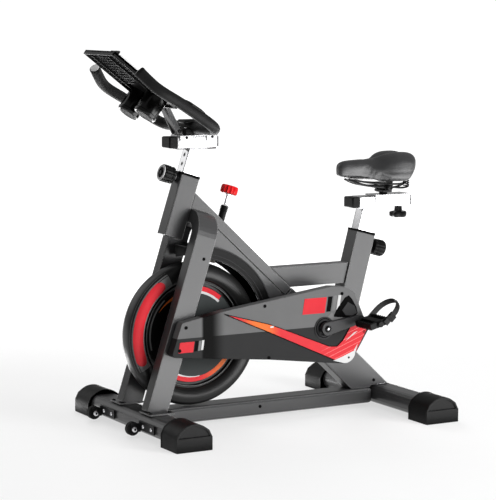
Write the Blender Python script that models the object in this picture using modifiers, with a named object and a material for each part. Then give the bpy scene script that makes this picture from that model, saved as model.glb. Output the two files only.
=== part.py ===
"""Indoor spin bike, modelled piece by piece at its real size.

Frame: metres, +Z up, +X towards the saddle end, -Y the drive side, origin on the floor in the middle plane.
"""

import math

import bmesh
import bpy
from mathutils import Matrix, Vector

OBJECT_NAME = "indoor_spin_bike"
GAP = 0.0003

# The bars, tubes and axles below are placed from the middle of the base; the whole bike is then shifted
# forward so that the origin is under the middle of its outer box.
BIKE_SHIFT = -0.042635

# Base: two floor bars joined by one long beam.
FRONT_BAR_X = -0.366
REAR_BAR_X = 0.474
FRONT_BAR_HALF = 0.348
REAR_BAR_HALF = 0.360
BAR_WIDTH = 0.095
BAR_BOTTOM = 0.008
BAR_TOP = 0.066
CAP_WIDTH = 0.115
CAP_LENGTH = 0.100
CAP_HEIGHT = 0.080
BEAM_WIDTH = 0.080
BEAM_BOTTOM = 0.012
BEAM_TOP = 0.060

# Upright tubes lean back towards the rider.
HEAD_TILT = math.radians(18)
SEAT_TILT = math.radians(15)
FORK_FOOT = Vector((-0.364, 0, BAR_TOP + GAP))
FORK_HEIGHT = 0.610
FORK_HALF = 0.105
FORK_TUBE = 0.040
FORK_DEPTH = 0.066
FORK_BEND = 0.070
HEAD_UP = 0.703
HEAD_LENGTH = 0.190
HEAD_DEPTH = 0.062
HEAD_WIDTH = 0.052
SEAT_TOP = Vector((0.4065, 0, 0.5525))
SEAT_BORE = 0.260
SEAT_DEPTH = 0.068
SEAT_WIDTH = 0.056
SLEEVE_WALL = 0.0035
POST_DEPTH = 0.054
POST_WIDTH = 0.040
HOLE_SPACING = 0.028
HEAD_POST_LENGTH = 0.235
SEAT_POST_LENGTH = 0.255

# Spine: one diagonal line from the head sleeve through the crank axle to the rear bar.
CRANK = Vector((0.187, 0, 0.284))
SPINE_SLOPE = math.radians(43)
SPINE_HALF = 0.049
STRUT_DEPTH = 0.030
STRUT_WIDTH = 0.044
GUSSET_WIDTH = 0.036
REAR_STRUT_WIDTH = 0.060
REAR_STRUT_START = -0.112
TOP_TUBE_LOW = 0.398
TOP_TUBE_HIGH = 0.462

# Flywheel and drive.
WHEEL = Vector((-0.200, 0, 0.279))
WHEEL_RADIUS = 0.2165
WHEEL_HALF = 0.037
FENDER_INNER = 0.2300
FENDER_OUTER = 0.2690
FENDER_HALF = 0.045
AXLE_RADIUS = 0.0085
SPINDLE_RADIUS = 0.0085
SMALL_PULLEY = 0.028
LARGE_PULLEY = 0.084
BELT_THICKNESS = 0.004
BELT_WIDTH = 0.010
BELT_Y = -0.1235
COVER_OUT = -0.1400
COVER_IN = -0.1085
COVER_WALL = 0.0025
CRANK_LENGTH = 0.120
CRANK_ANGLE = math.radians(10)
CRANK_Y = 0.157
CRANK_THICKNESS = 0.014
PEDAL_Y = 0.226
PEDAL_HALF = 0.044
PEDAL_SPAN = 0.070
PEDAL_ANGLE = math.radians(15)

# Handlebar and saddle carriers.
HEAD_RAIL_FRONT = -0.252
HEAD_RAIL_BACK = -0.118
HEAD_RAIL_LOW = 0.838
HEAD_RAIL_HIGH = 0.873
SEAT_RAIL_FRONT = 0.384
SEAT_RAIL_BACK = 0.572
SEAT_RAIL_LOW = 0.630
SEAT_RAIL_HIGH = 0.665
RAIL_WIDTH = 0.0535
CARRIAGE_SHEET = 0.0035
BAR_RADIUS = 0.0165
BAR_HALF = 0.190
BAR_CENTRE = Vector((-0.195, 0, 0.8975))
RACK_TILT = math.radians(38)
RACK_LOW = Vector((-0.286, 0, 0.966))
RACK_LENGTH = 0.260
RACK_HALF = 0.100
RACK_THICKNESS = 0.006
CUP_RADIUS = 0.0350
CUP_DEPTH = 0.076
CUP_WALL = 0.0022
CUP_Y = 0.054
CUP_UP = 0.055
SADDLE_PIVOT = Vector((0.486, 0, 0.690))
SADDLE_NOSE = 0.312
SADDLE_LENGTH = 0.266
SADDLE_HALF = 0.088

# Small parts.
PULL_KNOB_RADIUS = 0.026
PULL_KNOB_LENGTH = 0.040
BRAKE_TOP = Vector((-0.0800, 0, 0.6580))
BRAKE_SLEEVE = 0.045
BRAKE_PAD_GAP = 0.005
ROLLER_RADIUS = 0.020
ROLLER_HALF = 0.010
ROLLER_X = -0.4345
ROLLER_Y = (-0.083, 0.186)

for old in list(bpy.data.objects):
    bpy.data.objects.remove(old)

parts = bpy.data.collections.new(OBJECT_NAME)
cutters = bpy.data.collections.new(OBJECT_NAME + "_cutters")
bpy.context.scene.collection.children.link(parts)
bpy.context.scene.collection.children.link(cutters)


def make_material(name, colour, roughness, metallic=0.0):
    """A plain Principled material."""
    made = bpy.data.materials.new(name)
    made.use_nodes = True
    shader = made.node_tree.nodes["Principled BSDF"]
    shader.inputs["Base Color"].default_value = (*colour, 1)
    shader.inputs["Roughness"].default_value = roughness
    shader.inputs["Metallic"].default_value = metallic
    return made


PAINT = make_material("frame_paint", (0.10, 0.10, 0.105), 0.35, 0.3)
PLASTIC = make_material("black_plastic", (0.02, 0.02, 0.021), 0.45)
GREY_PLASTIC = make_material("grey_plastic", (0.16, 0.16, 0.165), 0.40)
CHROME = make_material("chrome", (0.80, 0.80, 0.82), 0.12, 1.0)
STEEL = make_material("steel", (0.45, 0.45, 0.46), 0.30, 1.0)
IRON = make_material("flywheel_iron", (0.13, 0.13, 0.135), 0.35, 0.6)
RUBBER = make_material("rubber", (0.03, 0.03, 0.03), 0.80)
FOAM = make_material("foam_grip", (0.03, 0.03, 0.03), 0.75)
VINYL = make_material("saddle_vinyl", (0.05, 0.05, 0.052), 0.45)
RED = make_material("red_plastic", (0.75, 0.03, 0.03), 0.35)
FELT = make_material("brake_felt", (0.25, 0.22, 0.18), 0.95)


def leaning(origin, tilt, up=0.0, back=0.0, y=0.0):
    """A point in a frame that leans back by tilt: up along the lean, back at right angles to it."""
    along = Vector((math.sin(tilt), 0, math.cos(tilt)))
    across = Vector((math.cos(tilt), 0, -math.sin(tilt)))
    return origin + up * along + back * across + Vector((0, y, 0))


HEAD_TOP = leaning(FORK_FOOT, HEAD_TILT, HEAD_UP, -(FORK_DEPTH + HEAD_DEPTH) / 2 - GAP)


def spine(along, across=0.0):
    """A point on the spine, measured down it from the crank axle and square up from it, as (x, z)."""
    slope = SPINE_SLOPE
    x = CRANK.x + along * math.cos(slope) + across * math.sin(slope)
    z = CRANK.z - along * math.sin(slope) + across * math.cos(slope)
    return (x, z)


def arc(centre, radius, start, end, steps):
    """Points on a circular arc in a plane, angles in degrees."""
    points = []
    for step in range(steps + 1):
        angle = math.radians(start + (end - start) * step / steps)
        points.append((centre[0] + radius * math.cos(angle), centre[1] + radius * math.sin(angle)))
    return points


def rounded(width, height, radius, steps=4, low=0.0):
    """A rounded rectangle standing on the height low, as an outline."""
    side = width / 2 - radius
    top = low + height - radius
    bottom = low + radius
    return (
        arc((side, bottom), radius, -90, 0, steps)
        + arc((side, top), radius, 0, 90, steps)
        + arc((-side, top), radius, 90, 180, steps)
        + arc((-side, bottom), radius, 180, 270, steps)
    )


def place(obj, name, finish=None, matrix=None):
    """Name an object and file it with the parts, or with the cutters if it has no finish."""
    obj.name = name
    if matrix is not None:
        obj.matrix_world = matrix
    for owner in list(obj.users_collection):
        owner.objects.unlink(obj)
    if finish is None:
        cutters.objects.link(obj)
        obj.hide_render = True
        obj.display_type = "WIRE"
        return obj
    parts.objects.link(obj)
    obj.data.materials.clear()
    obj.data.materials.append(finish)
    return obj


def from_bmesh(name, shape, finish=None, matrix=None):
    """Turn a bmesh into a placed object."""
    mesh = bpy.data.meshes.new(name)
    shape.to_mesh(mesh)
    shape.free()
    return place(bpy.data.objects.new(name, mesh), name, finish, matrix)


def side_matrix(y=0.0):
    """Stands a flat outline in the XZ plane at a given Y."""
    return Matrix.Translation((0, y, 0)) @ Matrix.Rotation(math.pi / 2, 4, "X")


def curve_mesh(name, curve, finish, matrix):
    """Change a curve to a mesh with its caps welded."""
    guide = bpy.data.objects.new(name + "_curve", curve)
    bpy.context.scene.collection.objects.link(guide)
    bpy.context.view_layer.update()
    evaluated = guide.evaluated_get(bpy.context.evaluated_depsgraph_get())
    mesh = bpy.data.meshes.new_from_object(evaluated)
    bpy.data.objects.remove(guide)
    shape = bmesh.new()
    shape.from_mesh(mesh)
    bmesh.ops.remove_doubles(shape, verts=shape.verts, dist=0.00001)
    bmesh.ops.recalc_face_normals(shape, faces=shape.faces)
    bpy.data.meshes.remove(mesh)
    return from_bmesh(name, shape, finish, matrix)


def slab(name, outline, thickness, finish=None, matrix=None, soften=0.0):
    """A flat outline given a thickness, standing in the XZ plane unless a matrix says otherwise."""
    curve = bpy.data.curves.new(name, "CURVE")
    curve.dimensions = "2D"
    curve.fill_mode = "BOTH"
    curve.extrude = thickness / 2
    spline = curve.splines.new("POLY")
    spline.points.add(len(outline) - 1)
    for point, (x, y) in zip(spline.points, outline):
        point.co = (x, y, 0, 1)
    spline.use_cyclic_u = True
    obj = curve_mesh(name, curve, finish, side_matrix() if matrix is None else matrix)
    if soften:
        add_bevel(obj, soften)
    return obj


def add_bevel(obj, width, segments=2):
    """Round the sharp edges."""
    bevel = obj.modifiers.new("rounding", "BEVEL")
    bevel.width = width
    bevel.segments = segments
    bevel.limit_method = "ANGLE"
    bevel.angle_limit = math.radians(50)
    return obj


def box(name, size, centre, finish=None, tilt=0.0, soften=0.0):
    """A box of a given size, leaning back by tilt about the Y axis."""
    shape = bmesh.new()
    bmesh.ops.create_cube(shape, size=1.0)
    bmesh.ops.scale(shape, vec=size, verts=shape.verts)
    matrix = Matrix.Translation(centre) @ Matrix.Rotation(tilt, 4, "Y")
    obj = from_bmesh(name, shape, finish, matrix)
    if soften:
        add_bevel(obj, soften)
    return obj


def rod(name, radius, start, end, finish=None, segments=24, end_radius=None):
    """A round bar or cone between two points, with its origin in the middle."""
    start = Vector(start)
    end = Vector(end)
    shape = bmesh.new()
    bmesh.ops.create_cone(
        shape,
        cap_ends=True,
        segments=segments,
        radius1=radius,
        radius2=radius if end_radius is None else end_radius,
        depth=(end - start).length,
    )
    turn = (end - start).to_track_quat("Z", "Y").to_matrix().to_4x4()
    return from_bmesh(name, shape, finish, Matrix.Translation((start + end) / 2) @ turn)


def turned(name, profile, finish, matrix, steps=48, closed=True):
    """A turned piece: the profile runs down its outer side and is spun about the local Z axis."""
    mesh = bpy.data.meshes.new(name)
    edges = [(i, i + 1) for i in range(len(profile) - 1)]
    if closed:
        edges.append((len(profile) - 1, 0))
    mesh.from_pydata([(radius, 0, height) for radius, height in profile], edges, [])
    obj = place(bpy.data.objects.new(name, mesh), name, finish, matrix)
    screw = obj.modifiers.new("spin", "SCREW")
    screw.axis = "Z"
    screw.steps = steps
    screw.render_steps = steps
    screw.use_merge_vertices = True
    screw.merge_threshold = 0.00001
    return obj


def pipe(name, points, radius, finish, resolution=3, closed=False, smooth=True):
    """A bent tube along a smooth line through its points."""
    curve = bpy.data.curves.new(name, "CURVE")
    curve.dimensions = "3D"
    curve.bevel_depth = radius
    curve.bevel_resolution = resolution
    curve.use_fill_caps = not closed
    spline = curve.splines.new("POLY")
    line = smooth_line(points, closed) if smooth else points
    spline.points.add(len(line) - 1)
    for point, place_at in zip(spline.points, line):
        point.co = (*place_at, 1)
    spline.use_cyclic_u = closed
    return curve_mesh(name, curve, finish, Matrix.Identity(4))


def smooth_line(points, closed=False, steps=3):
    """Catmull-Rom points through a list of points."""
    points = [Vector(point) for point in points]
    count = len(points)
    line = []
    for i in range(count if closed else count - 1):
        if closed:
            four = [points[(i + k) % count] for k in (-1, 0, 1, 2)]
        else:
            four = [points[min(max(i + k, 0), count - 1)] for k in (-1, 0, 1, 2)]
        before, start, end, after = four
        for step in range(steps):
            t = step / steps
            line.append(
                0.5
                * (
                    2 * start
                    + (end - before) * t
                    + (2 * before - 5 * start + 4 * end - after) * t**2
                    + (3 * start - before - 3 * end + after) * t**3
                )
            )
    if not closed:
        line.append(points[-1])
    return line


def hang_on(obj, point):
    """Move an object's origin onto its joint axis and leave its mesh in place."""
    local = obj.matrix_world.inverted() @ Vector(point)
    obj.data.transform(Matrix.Translation(-local))
    obj.matrix_world.translation = point
    return obj


def combine(obj, tool, operation="DIFFERENCE"):
    """Cut obj with a hidden tool, or join the tool to it."""
    boolean = obj.modifiers.new(operation.lower(), "BOOLEAN")
    boolean.operation = operation
    boolean.solver = "EXACT"
    boolean.object = tool
    return obj


def wheel_matrix(centre, y=0.0):
    """Turns a spun piece so that its axis lies along Y, with its profile's top on the drive side."""
    return Matrix.Translation((centre[0], y, centre[2])) @ Matrix.Rotation(math.pi / 2, 4, "X")


def bike_base():
    """Floor bars, their end caps, the long beam and the transport rollers."""
    bars = (("front", FRONT_BAR_X, FRONT_BAR_HALF), ("rear", REAR_BAR_X, REAR_BAR_HALF))
    section = rounded(BAR_WIDTH, BAR_TOP - BAR_BOTTOM, 0.026, 4, BAR_BOTTOM)
    side = CAP_WIDTH / 2
    cap_section = (
        [(side, 0.0), (side, 0.040), (side - 0.010, 0.060)]
        + arc((0, 0.020), 0.060, 55, 125, 8)
        + [(0.010 - side, 0.060), (-side, 0.040), (-side, 0.0)]
    )
    tube_half_inset = 0.020
    for end, x, half in bars:
        tube = slab(end + "_stabilizer", section, 2 * (half - tube_half_inset), PAINT)
        tube.matrix_world = Matrix.Translation((x, 0, 0)) @ side_matrix()
        for label, sign in (("near", -1), ("far", 1)):
            middle = sign * (half - CAP_LENGTH / 2)
            cap = slab(f"{end}_cap_{label}", cap_section, CAP_LENGTH, PLASTIC)
            cap.matrix_world = Matrix.Translation((x, middle, 0)) @ side_matrix()
            add_bevel(cap, 0.002)
            room = (BAR_WIDTH + 2 * GAP, 0.120, BAR_TOP - BAR_BOTTOM + 2 * GAP)
            reach = sign * (half - tube_half_inset + GAP - 0.060)
            pocket = box(f"{end}_{label}_pocket", room, (x, reach, (BAR_TOP + BAR_BOTTOM) / 2))
            combine(cap, pocket)
    front = FRONT_BAR_X + BAR_WIDTH / 2 + GAP
    back = REAR_BAR_X - BAR_WIDTH / 2 - GAP
    size = (back - front, BEAM_WIDTH, BEAM_TOP - BEAM_BOTTOM)
    box("base_beam", size, ((front + back) / 2, 0, (BEAM_TOP + BEAM_BOTTOM) / 2), PAINT, soften=0.010)
    for label, y in zip(("near", "far"), ROLLER_Y):
        transport_roller(label, y)


def transport_roller(label, y):
    """A small roller beside an arm that is bolted to the front of the floor bar."""
    profile = [
        (0.004 + GAP, ROLLER_HALF),
        (ROLLER_RADIUS - 0.003, ROLLER_HALF),
        (ROLLER_RADIUS, ROLLER_HALF - 0.003),
        (ROLLER_RADIUS, 0.003 - ROLLER_HALF),
        (ROLLER_RADIUS - 0.003, -ROLLER_HALF),
        (0.004 + GAP, -ROLLER_HALF),
    ]
    height = ROLLER_RADIUS + 0.006
    centre = (ROLLER_X, 0, height)
    turned(f"roller_{label}", profile, RUBBER, wheel_matrix(centre, y), 24)
    face = FRONT_BAR_X - BAR_WIDTH / 2 - GAP
    ear_y = y - ROLLER_HALF - 0.003
    pad = box(
        f"roller_bracket_{label}",
        (0.005, 0.100, 0.026),
        (face - 0.0025, ear_y - 0.048, 0.037),
        STEEL,
    )
    reach = face - ROLLER_X
    ear = box(f"ear_{label}", (reach + 0.009, 0.004, 0.026), (face - reach / 2 - 0.0045, ear_y, height + 0.004))
    pin = rod(f"pin_{label}", 0.004, (ROLLER_X, ear_y - 0.006, height), (ROLLER_X, y + ROLLER_HALF, height), None, 12)
    combine(pad, ear, "UNION")
    combine(pad, pin, "UNION")


def fork_and_head():
    """The bent fork round the flywheel and the sleeve in front of it for the handlebar post."""
    outer = FORK_HALF
    inner = FORK_HALF - FORK_TUBE
    top = FORK_HEIGHT
    outline = [(-outer, 0)]
    outline += arc((-outer + FORK_BEND, top - FORK_BEND), FORK_BEND, 180, 90, 8)
    outline += arc((outer - FORK_BEND, top - FORK_BEND), FORK_BEND, 90, 0, 8)
    outline += [(outer, 0), (inner, 0)]
    bend = FORK_BEND - FORK_TUBE
    outline += arc((inner - bend, top - FORK_BEND), bend, 0, 90, 4)
    outline += arc((bend - inner, top - FORK_BEND), bend, 90, 180, 4)
    outline += [(-inner, 0)]
    across = Vector((0, 1, 0))
    up = leaning(Vector(), HEAD_TILT, 1)
    rear = leaning(Vector(), HEAD_TILT, 0, 1)
    matrix = Matrix((across, up, rear)).transposed().to_4x4()
    matrix.translation = FORK_FOOT
    fork = slab("fork", outline, FORK_DEPTH, PAINT, matrix, 0.004)
    floor = box("fork_floor", (0.3, 0.4, 0.1), FORK_FOOT - Vector((0, 0, 0.05)))
    combine(fork, floor)

    middle = leaning(HEAD_TOP, HEAD_TILT, -HEAD_LENGTH / 2)
    sleeve = box("head_sleeve", (HEAD_DEPTH, HEAD_WIDTH, HEAD_LENGTH), middle, PAINT, HEAD_TILT, 0.003)
    bore = (HEAD_DEPTH - 2 * SLEEVE_WALL, HEAD_WIDTH - 2 * SLEEVE_WALL, HEAD_LENGTH + 0.02)
    combine(sleeve, box("head_bore", bore, middle, None, HEAD_TILT))


def fork_line(up, back):
    """A point on the fork's own leaning axes as (x, z)."""
    point = leaning(FORK_FOOT, HEAD_TILT, up, back)
    return (point.x, point.z)


def spine_frame():
    """Diagonal strut, gusset, rear strut, top tube and seat sleeve."""
    slab("main_strut", main_strut_outline(), STRUT_WIDTH, PAINT, None, 0.002)
    slab("gusset_plate", gusset_outline(), GUSSET_WIDTH, PAINT)
    bar_front = REAR_BAR_X - BAR_WIDTH / 2
    bar_level = BAR_TOP + GAP
    low = BEAM_TOP + GAP
    down = math.tan(SPINE_SLOPE)
    upper = spine(0, SPINE_HALF)
    lower = spine(0, -SPINE_HALF)
    outline = [
        spine(REAR_STRUT_START, SPINE_HALF),
        (upper[0] + (upper[1] - bar_level) / down, bar_level),
        (bar_front - 2 * GAP, bar_level),
        (bar_front - 2 * GAP, low),
        (lower[0] + (lower[1] - low) / down, low),
        spine(REAR_STRUT_START, -SPINE_HALF),
    ]
    strut = slab("rear_strut", outline, REAR_STRUT_WIDTH, PAINT, None, 0.003)
    hole = rod("shell_hole", 0.021 + GAP, (CRANK.x, -0.1, CRANK.z), (CRANK.x, 0.1, CRANK.z), None, 32)
    combine(strut, hole)

    seat_left = seat_face(TOP_TUBE_LOW, -1)
    seat_right = seat_face(TOP_TUBE_HIGH, -1)
    top_tube = [
        (strut_top(TOP_TUBE_LOW) + GAP, TOP_TUBE_LOW),
        (seat_left - GAP, TOP_TUBE_LOW),
        (seat_right - GAP, TOP_TUBE_HIGH),
        (strut_top(TOP_TUBE_HIGH) + GAP, TOP_TUBE_HIGH),
    ]
    slab("top_tube", top_tube, STRUT_WIDTH, PAINT, None, 0.002)

    half = SEAT_DEPTH / 2
    sleeve_outline = []
    for back in (half, -half):
        point = leaning(SEAT_TOP, SEAT_TILT, 0, back)
        sleeve_outline.append((point.x, point.z))
    for back in (-half, half):
        sleeve_outline.append(sleeve_foot(back))
    sleeve = slab("seat_sleeve", sleeve_outline, SEAT_WIDTH, PAINT, None, 0.003)
    middle = leaning(SEAT_TOP, SEAT_TILT, 0.02 - SEAT_BORE / 2)
    bore = (SEAT_DEPTH - 2 * SLEEVE_WALL, SEAT_WIDTH - 2 * SLEEVE_WALL, SEAT_BORE)
    combine(sleeve, box("seat_bore", bore, middle, None, SEAT_TILT))


def strut_top(z):
    """Where the spine's upper edge line crosses a height."""
    edge = spine(0, SPINE_HALF)
    return edge[0] + (edge[1] - z) / math.tan(SPINE_SLOPE)


def seat_face(z, side):
    """Where the seat sleeve's front or rear face crosses a height."""
    edge = leaning(SEAT_TOP, SEAT_TILT, 0, side * SEAT_DEPTH / 2)
    return edge.x + (z - edge.z) * math.tan(SEAT_TILT)


def sleeve_foot(back):
    """Where the seat sleeve's edge line meets the top of the rear strut."""
    start = leaning(SEAT_TOP, SEAT_TILT, 0, back)
    fall = math.tan(SPINE_SLOPE)
    lean = math.tan(SEAT_TILT)
    edge = spine(0, SPINE_HALF + 2 * GAP)
    z = (edge[1] - fall * (start.x - edge[0] - start.z * lean)) / (1 + fall * lean)
    return (start.x + (z - start.z) * lean, z)


def main_strut_outline():
    """The strut's side view: it starts on the head sleeve, sits on the fork and ends over the crank."""
    contact = FORK_DEPTH / 2 + GAP
    fork_top = FORK_HEIGHT + 2 * GAP
    head_back = leaning(HEAD_TOP, HEAD_TILT, 0, HEAD_DEPTH / 2 + GAP)
    slope = math.tan(SPINE_SLOPE)
    lean = math.tan(HEAD_TILT)
    edge = spine(0, SPINE_HALF)
    z = (edge[1] - slope * (head_back.x - edge[0] - head_back.z * lean)) / (1 + slope * lean)
    start = (head_back.x + (z - head_back.z) * lean, z)
    head_low = leaning(FORK_FOOT, HEAD_TILT, fork_top)
    along_top = (head_low - head_back).dot(leaning(Vector(), HEAD_TILT, 1))
    corner = leaning(head_back, HEAD_TILT, along_top)
    lower = spine(0, SPINE_HALF - STRUT_DEPTH)
    rear_x, rear_z = fork_line(fork_top, contact)
    drop = (rear_x, lower[1] - slope * (rear_x - lower[0]))
    fall = (rear_z - drop[1]) / (1 + slope * lean)
    meet = (rear_x - fall * lean, rear_z - fall)
    outline = [start, (corner.x, corner.z), (rear_x, rear_z)]
    if meet[1] < rear_z:
        outline.append(meet)
    outline += [
        spine(REAR_STRUT_START - GAP, SPINE_HALF - STRUT_DEPTH),
        spine(REAR_STRUT_START - GAP, SPINE_HALF),
    ]
    return outline


def gusset_outline():
    """Plate under the strut: fork on one side, the fender's arc below, the cover's top at the far end."""
    centre = (WHEEL.x, WHEEL.z)
    radius = FENDER_OUTER + GAP
    contact = FORK_DEPTH / 2 + 2 * GAP
    low = leaning(FORK_FOOT, HEAD_TILT, 0, contact)
    up = leaning(Vector(), HEAD_TILT, 1)
    offset = low - Vector((centre[0], 0, centre[1]))
    ahead = offset.dot(up)
    climb = -ahead + math.sqrt(ahead**2 - offset.length_squared + radius**2)
    first = low + climb * up
    start = math.degrees(math.atan2(first.z - centre[1], first.x - centre[0]))
    last_angle = 17.0
    arc_points = arc(centre, radius, start, last_angle, 14)
    upper = spine(0, SPINE_HALF - STRUT_DEPTH - GAP)
    slope = math.tan(SPINE_SLOPE)
    lean = math.tan(HEAD_TILT)
    top_z = (upper[1] - slope * (low.x - upper[0] - low.z * lean)) / (1 + slope * lean)
    top = (low.x + (top_z - low.z) * lean, top_z)
    end = spine(REAR_STRUT_START - 2 * GAP, SPINE_HALF - STRUT_DEPTH - GAP)
    foot = spine(REAR_STRUT_START - 2 * GAP, -SPINE_HALF * 0.55)
    return [top] + arc_points + [foot, end]


def flywheel_group():
    """Flywheel, its axle and small pulley, the plates that hold it and the fender over it."""
    half = WHEEL_HALF
    rim = WHEEL_RADIUS
    side = [
        (AXLE_RADIUS + GAP, 0.050),
        (0.022, 0.050),
        (0.026, 0.022),
        (0.146, 0.016),
        (0.156, 0.012),
        (0.158, 0.026),
        (0.180, half),
        (0.200, half),
        (0.213, 0.026),
        (rim, 0.012),
    ]
    profile = side + [(radius, -height) for radius, height in reversed(side)]
    turned("flywheel", profile, IRON, wheel_matrix(WHEEL), 48)
    rod(
        "flywheel_axle",
        AXLE_RADIUS,
        (WHEEL.x, -0.134, WHEEL.z),
        (WHEEL.x, 0.078, WHEEL.z),
        STEEL,
        24,
    )
    pulley("flywheel_pulley", WHEEL, SMALL_PULLEY, AXLE_RADIUS + GAP, 24)

    plate = 0.0055
    for label, sign in (("near", -1), ("far", 1)):
        y = sign * (FORK_HALF - FORK_TUBE - GAP - plate / 2)
        corners = [
            fork_line(0.215, -0.026),
            fork_line(0.215, 0.080),
            fork_line(0.228, 0.112),
            fork_line(0.275, 0.112),
            fork_line(0.300, 0.080),
            fork_line(0.340, -0.026),
        ]
        holder = slab(f"axle_plate_{label}", corners, plate, STEEL, side_matrix(y))
        hole = rod(
            f"axle_hole_{label}",
            AXLE_RADIUS + GAP,
            (WHEEL.x, y - 0.02, WHEEL.z),
            (WHEEL.x, y + 0.02, WHEEL.z),
            None,
            24,
        )
        combine(holder, hole)

    centre = (WHEEL.x, WHEEL.z)
    outer = slab(
        "wheel_fender",
        arc(centre, FENDER_OUTER, 14, 96, 24) + arc(centre, FENDER_INNER, 96, 14, 24),
        2 * FENDER_HALF,
        PLASTIC,
    )
    web = FENDER_OUTER - 0.003
    channel = slab(
        "fender_channel",
        arc(centre, web, 10, 100, 24) + arc(centre, FENDER_INNER - 0.01, 100, 10, 24),
        2 * (FENDER_HALF - 0.003),
    )
    combine(outer, channel)
    slot = rod(
        "pad_slot",
        0.021,
        leaning(BRAKE_TOP, HEAD_TILT, -0.20),
        leaning(BRAKE_TOP, HEAD_TILT, 0.02),
        None,
        24,
    )
    combine(outer, slot)


def pulley(name, centre, radius, bore, steps):
    """A flat belt pulley with two low flanges."""
    half = BELT_WIDTH / 2 + 0.0015
    flange = radius + 0.0025
    profile = [
        (bore, half),
        (flange, half),
        (flange, half - 0.001),
        (radius, half - 0.001),
        (radius, 0.001 - half),
        (flange, 0.001 - half),
        (flange, -half),
        (bore, -half),
    ]
    return turned(name, profile, STEEL, wheel_matrix(centre, BELT_Y), steps)


def belt_outline(extra):
    """The line round both pulleys at a distance outside their rims."""
    small = SMALL_PULLEY + extra
    large = LARGE_PULLEY + extra
    reach = math.hypot(CRANK.x - WHEEL.x, CRANK.z - WHEEL.z)
    rise = math.degrees(math.atan2(CRANK.z - WHEEL.z, CRANK.x - WHEEL.x))
    open_angle = math.degrees(math.acos((large - small) / reach))
    lead = 180 - open_angle
    points = arc((CRANK.x, CRANK.z), large, rise - lead, rise + lead, 26)
    points += arc((WHEEL.x, WHEEL.z), small, rise + lead, rise + 360 - lead, 14)
    return points


def drive_group():
    """Bottom bracket shell, spindle, cranks, large pulley, belt and the two cover halves."""
    shell = [
        (SPINDLE_RADIUS + GAP, 0.1045),
        (0.021, 0.1045),
        (0.021, -0.1045),
        (SPINDLE_RADIUS + GAP, -0.1045),
    ]
    turned("bottom_bracket_shell", shell, PAINT, wheel_matrix(CRANK), 32)
    rod(
        "crank_spindle",
        SPINDLE_RADIUS,
        (CRANK.x, -CRANK_Y - 0.010, CRANK.z),
        (CRANK.x, CRANK_Y + 0.010, CRANK.z),
        STEEL,
        24,
    )
    pulley("drive_pulley", CRANK, LARGE_PULLEY, SPINDLE_RADIUS + GAP, 36)
    belt = slab("drive_belt", belt_outline(BELT_THICKNESS), BELT_WIDTH, RUBBER, side_matrix(BELT_Y))
    combine(belt, slab("belt_inside", belt_outline(GAP), BELT_WIDTH + 0.01, None, side_matrix(BELT_Y)))
    for label, sign in (("near", -1), ("far", 1)):
        crank_and_pedal(label, sign)
    chain_cover()


def crank_and_pedal(label, sign):
    """One crank arm, its pedal and the strap over the pedal."""
    angle = CRANK_ANGLE if sign < 0 else CRANK_ANGLE + math.pi
    eye = Vector(
        (
            CRANK.x + CRANK_LENGTH * math.cos(angle),
            0,
            CRANK.z + CRANK_LENGTH * math.sin(angle),
        )
    )
    y = sign * CRANK_Y
    large, small = 0.020, 0.0125
    turn = math.degrees(angle)
    outline = arc((CRANK.x, CRANK.z), large, turn + 94, turn + 266, 12)
    outline += arc((eye.x, eye.z), small, turn - 94, turn + 94, 8)
    arm = slab(f"crank_arm_{label}", outline, CRANK_THICKNESS, STEEL, side_matrix(y), 0.002)
    near = Vector((CRANK.x, y - 0.03, CRANK.z))
    far = Vector((CRANK.x, y + 0.03, CRANK.z))
    combine(arm, rod(f"crank_hole_{label}", SPINDLE_RADIUS + GAP, near, far, None, 24))

    axle = rod(
        f"pedal_axle_{label}",
        0.007,
        (eye.x, y + sign * (CRANK_THICKNESS / 2 - 0.004), eye.z),
        (eye.x, sign * (PEDAL_Y - PEDAL_HALF - 0.001), eye.z),
        None,
        16,
    )
    stub = rod(
        f"pedal_pin_{label}",
        0.0045,
        (eye.x, y, eye.z),
        (eye.x, sign * (PEDAL_Y + PEDAL_HALF - 0.006), eye.z),
        None,
        16,
    )
    combine(arm, axle, "UNION")
    combine(arm, stub, "UNION")
    hang_on(arm, (CRANK.x, y, CRANK.z))

    lean = Matrix.Rotation(-PEDAL_ANGLE, 4, "Y")
    seat = Matrix.Translation((eye.x, sign * PEDAL_Y, eye.z)) @ lean
    body = pedal_body(label, seat)
    bore = rod(
        f"pedal_bore_{label}",
        0.0045 + GAP,
        (eye.x, sign * (PEDAL_Y - PEDAL_HALF - 0.01), eye.z),
        (eye.x, sign * (PEDAL_Y + PEDAL_HALF - 0.0055), eye.z),
        None,
        16,
    )
    combine(body, bore)
    toe_strap(label, seat)


def pedal_body(label, seat):
    """A flat cage pedal: a core round the axle, two cross rails and end plates."""
    rail = 0.010
    core = box(f"pedal_{label}", (0.024, 2 * PEDAL_HALF, 0.022), (0, 0, 0), PLASTIC)
    core.matrix_world = seat
    pieces = [
        ((PEDAL_SPAN, 0.010, 0.020), (0, PEDAL_HALF - 0.005, 0)),
        ((PEDAL_SPAN, 0.010, 0.020), (0, 0.005 - PEDAL_HALF, 0)),
        ((rail, 2 * PEDAL_HALF, 0.020), (PEDAL_SPAN / 2 - rail / 2, 0, 0)),
        ((rail, 2 * PEDAL_HALF, 0.020), (rail / 2 - PEDAL_SPAN / 2, 0, 0)),
    ]
    for index, (size, centre) in enumerate(pieces):
        tool = box(f"pedal_{label}_rail_{index}", size, (0, 0, 0))
        tool.matrix_world = seat @ Matrix.Translation(centre)
        combine(core, tool, "UNION")
    return core


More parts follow.
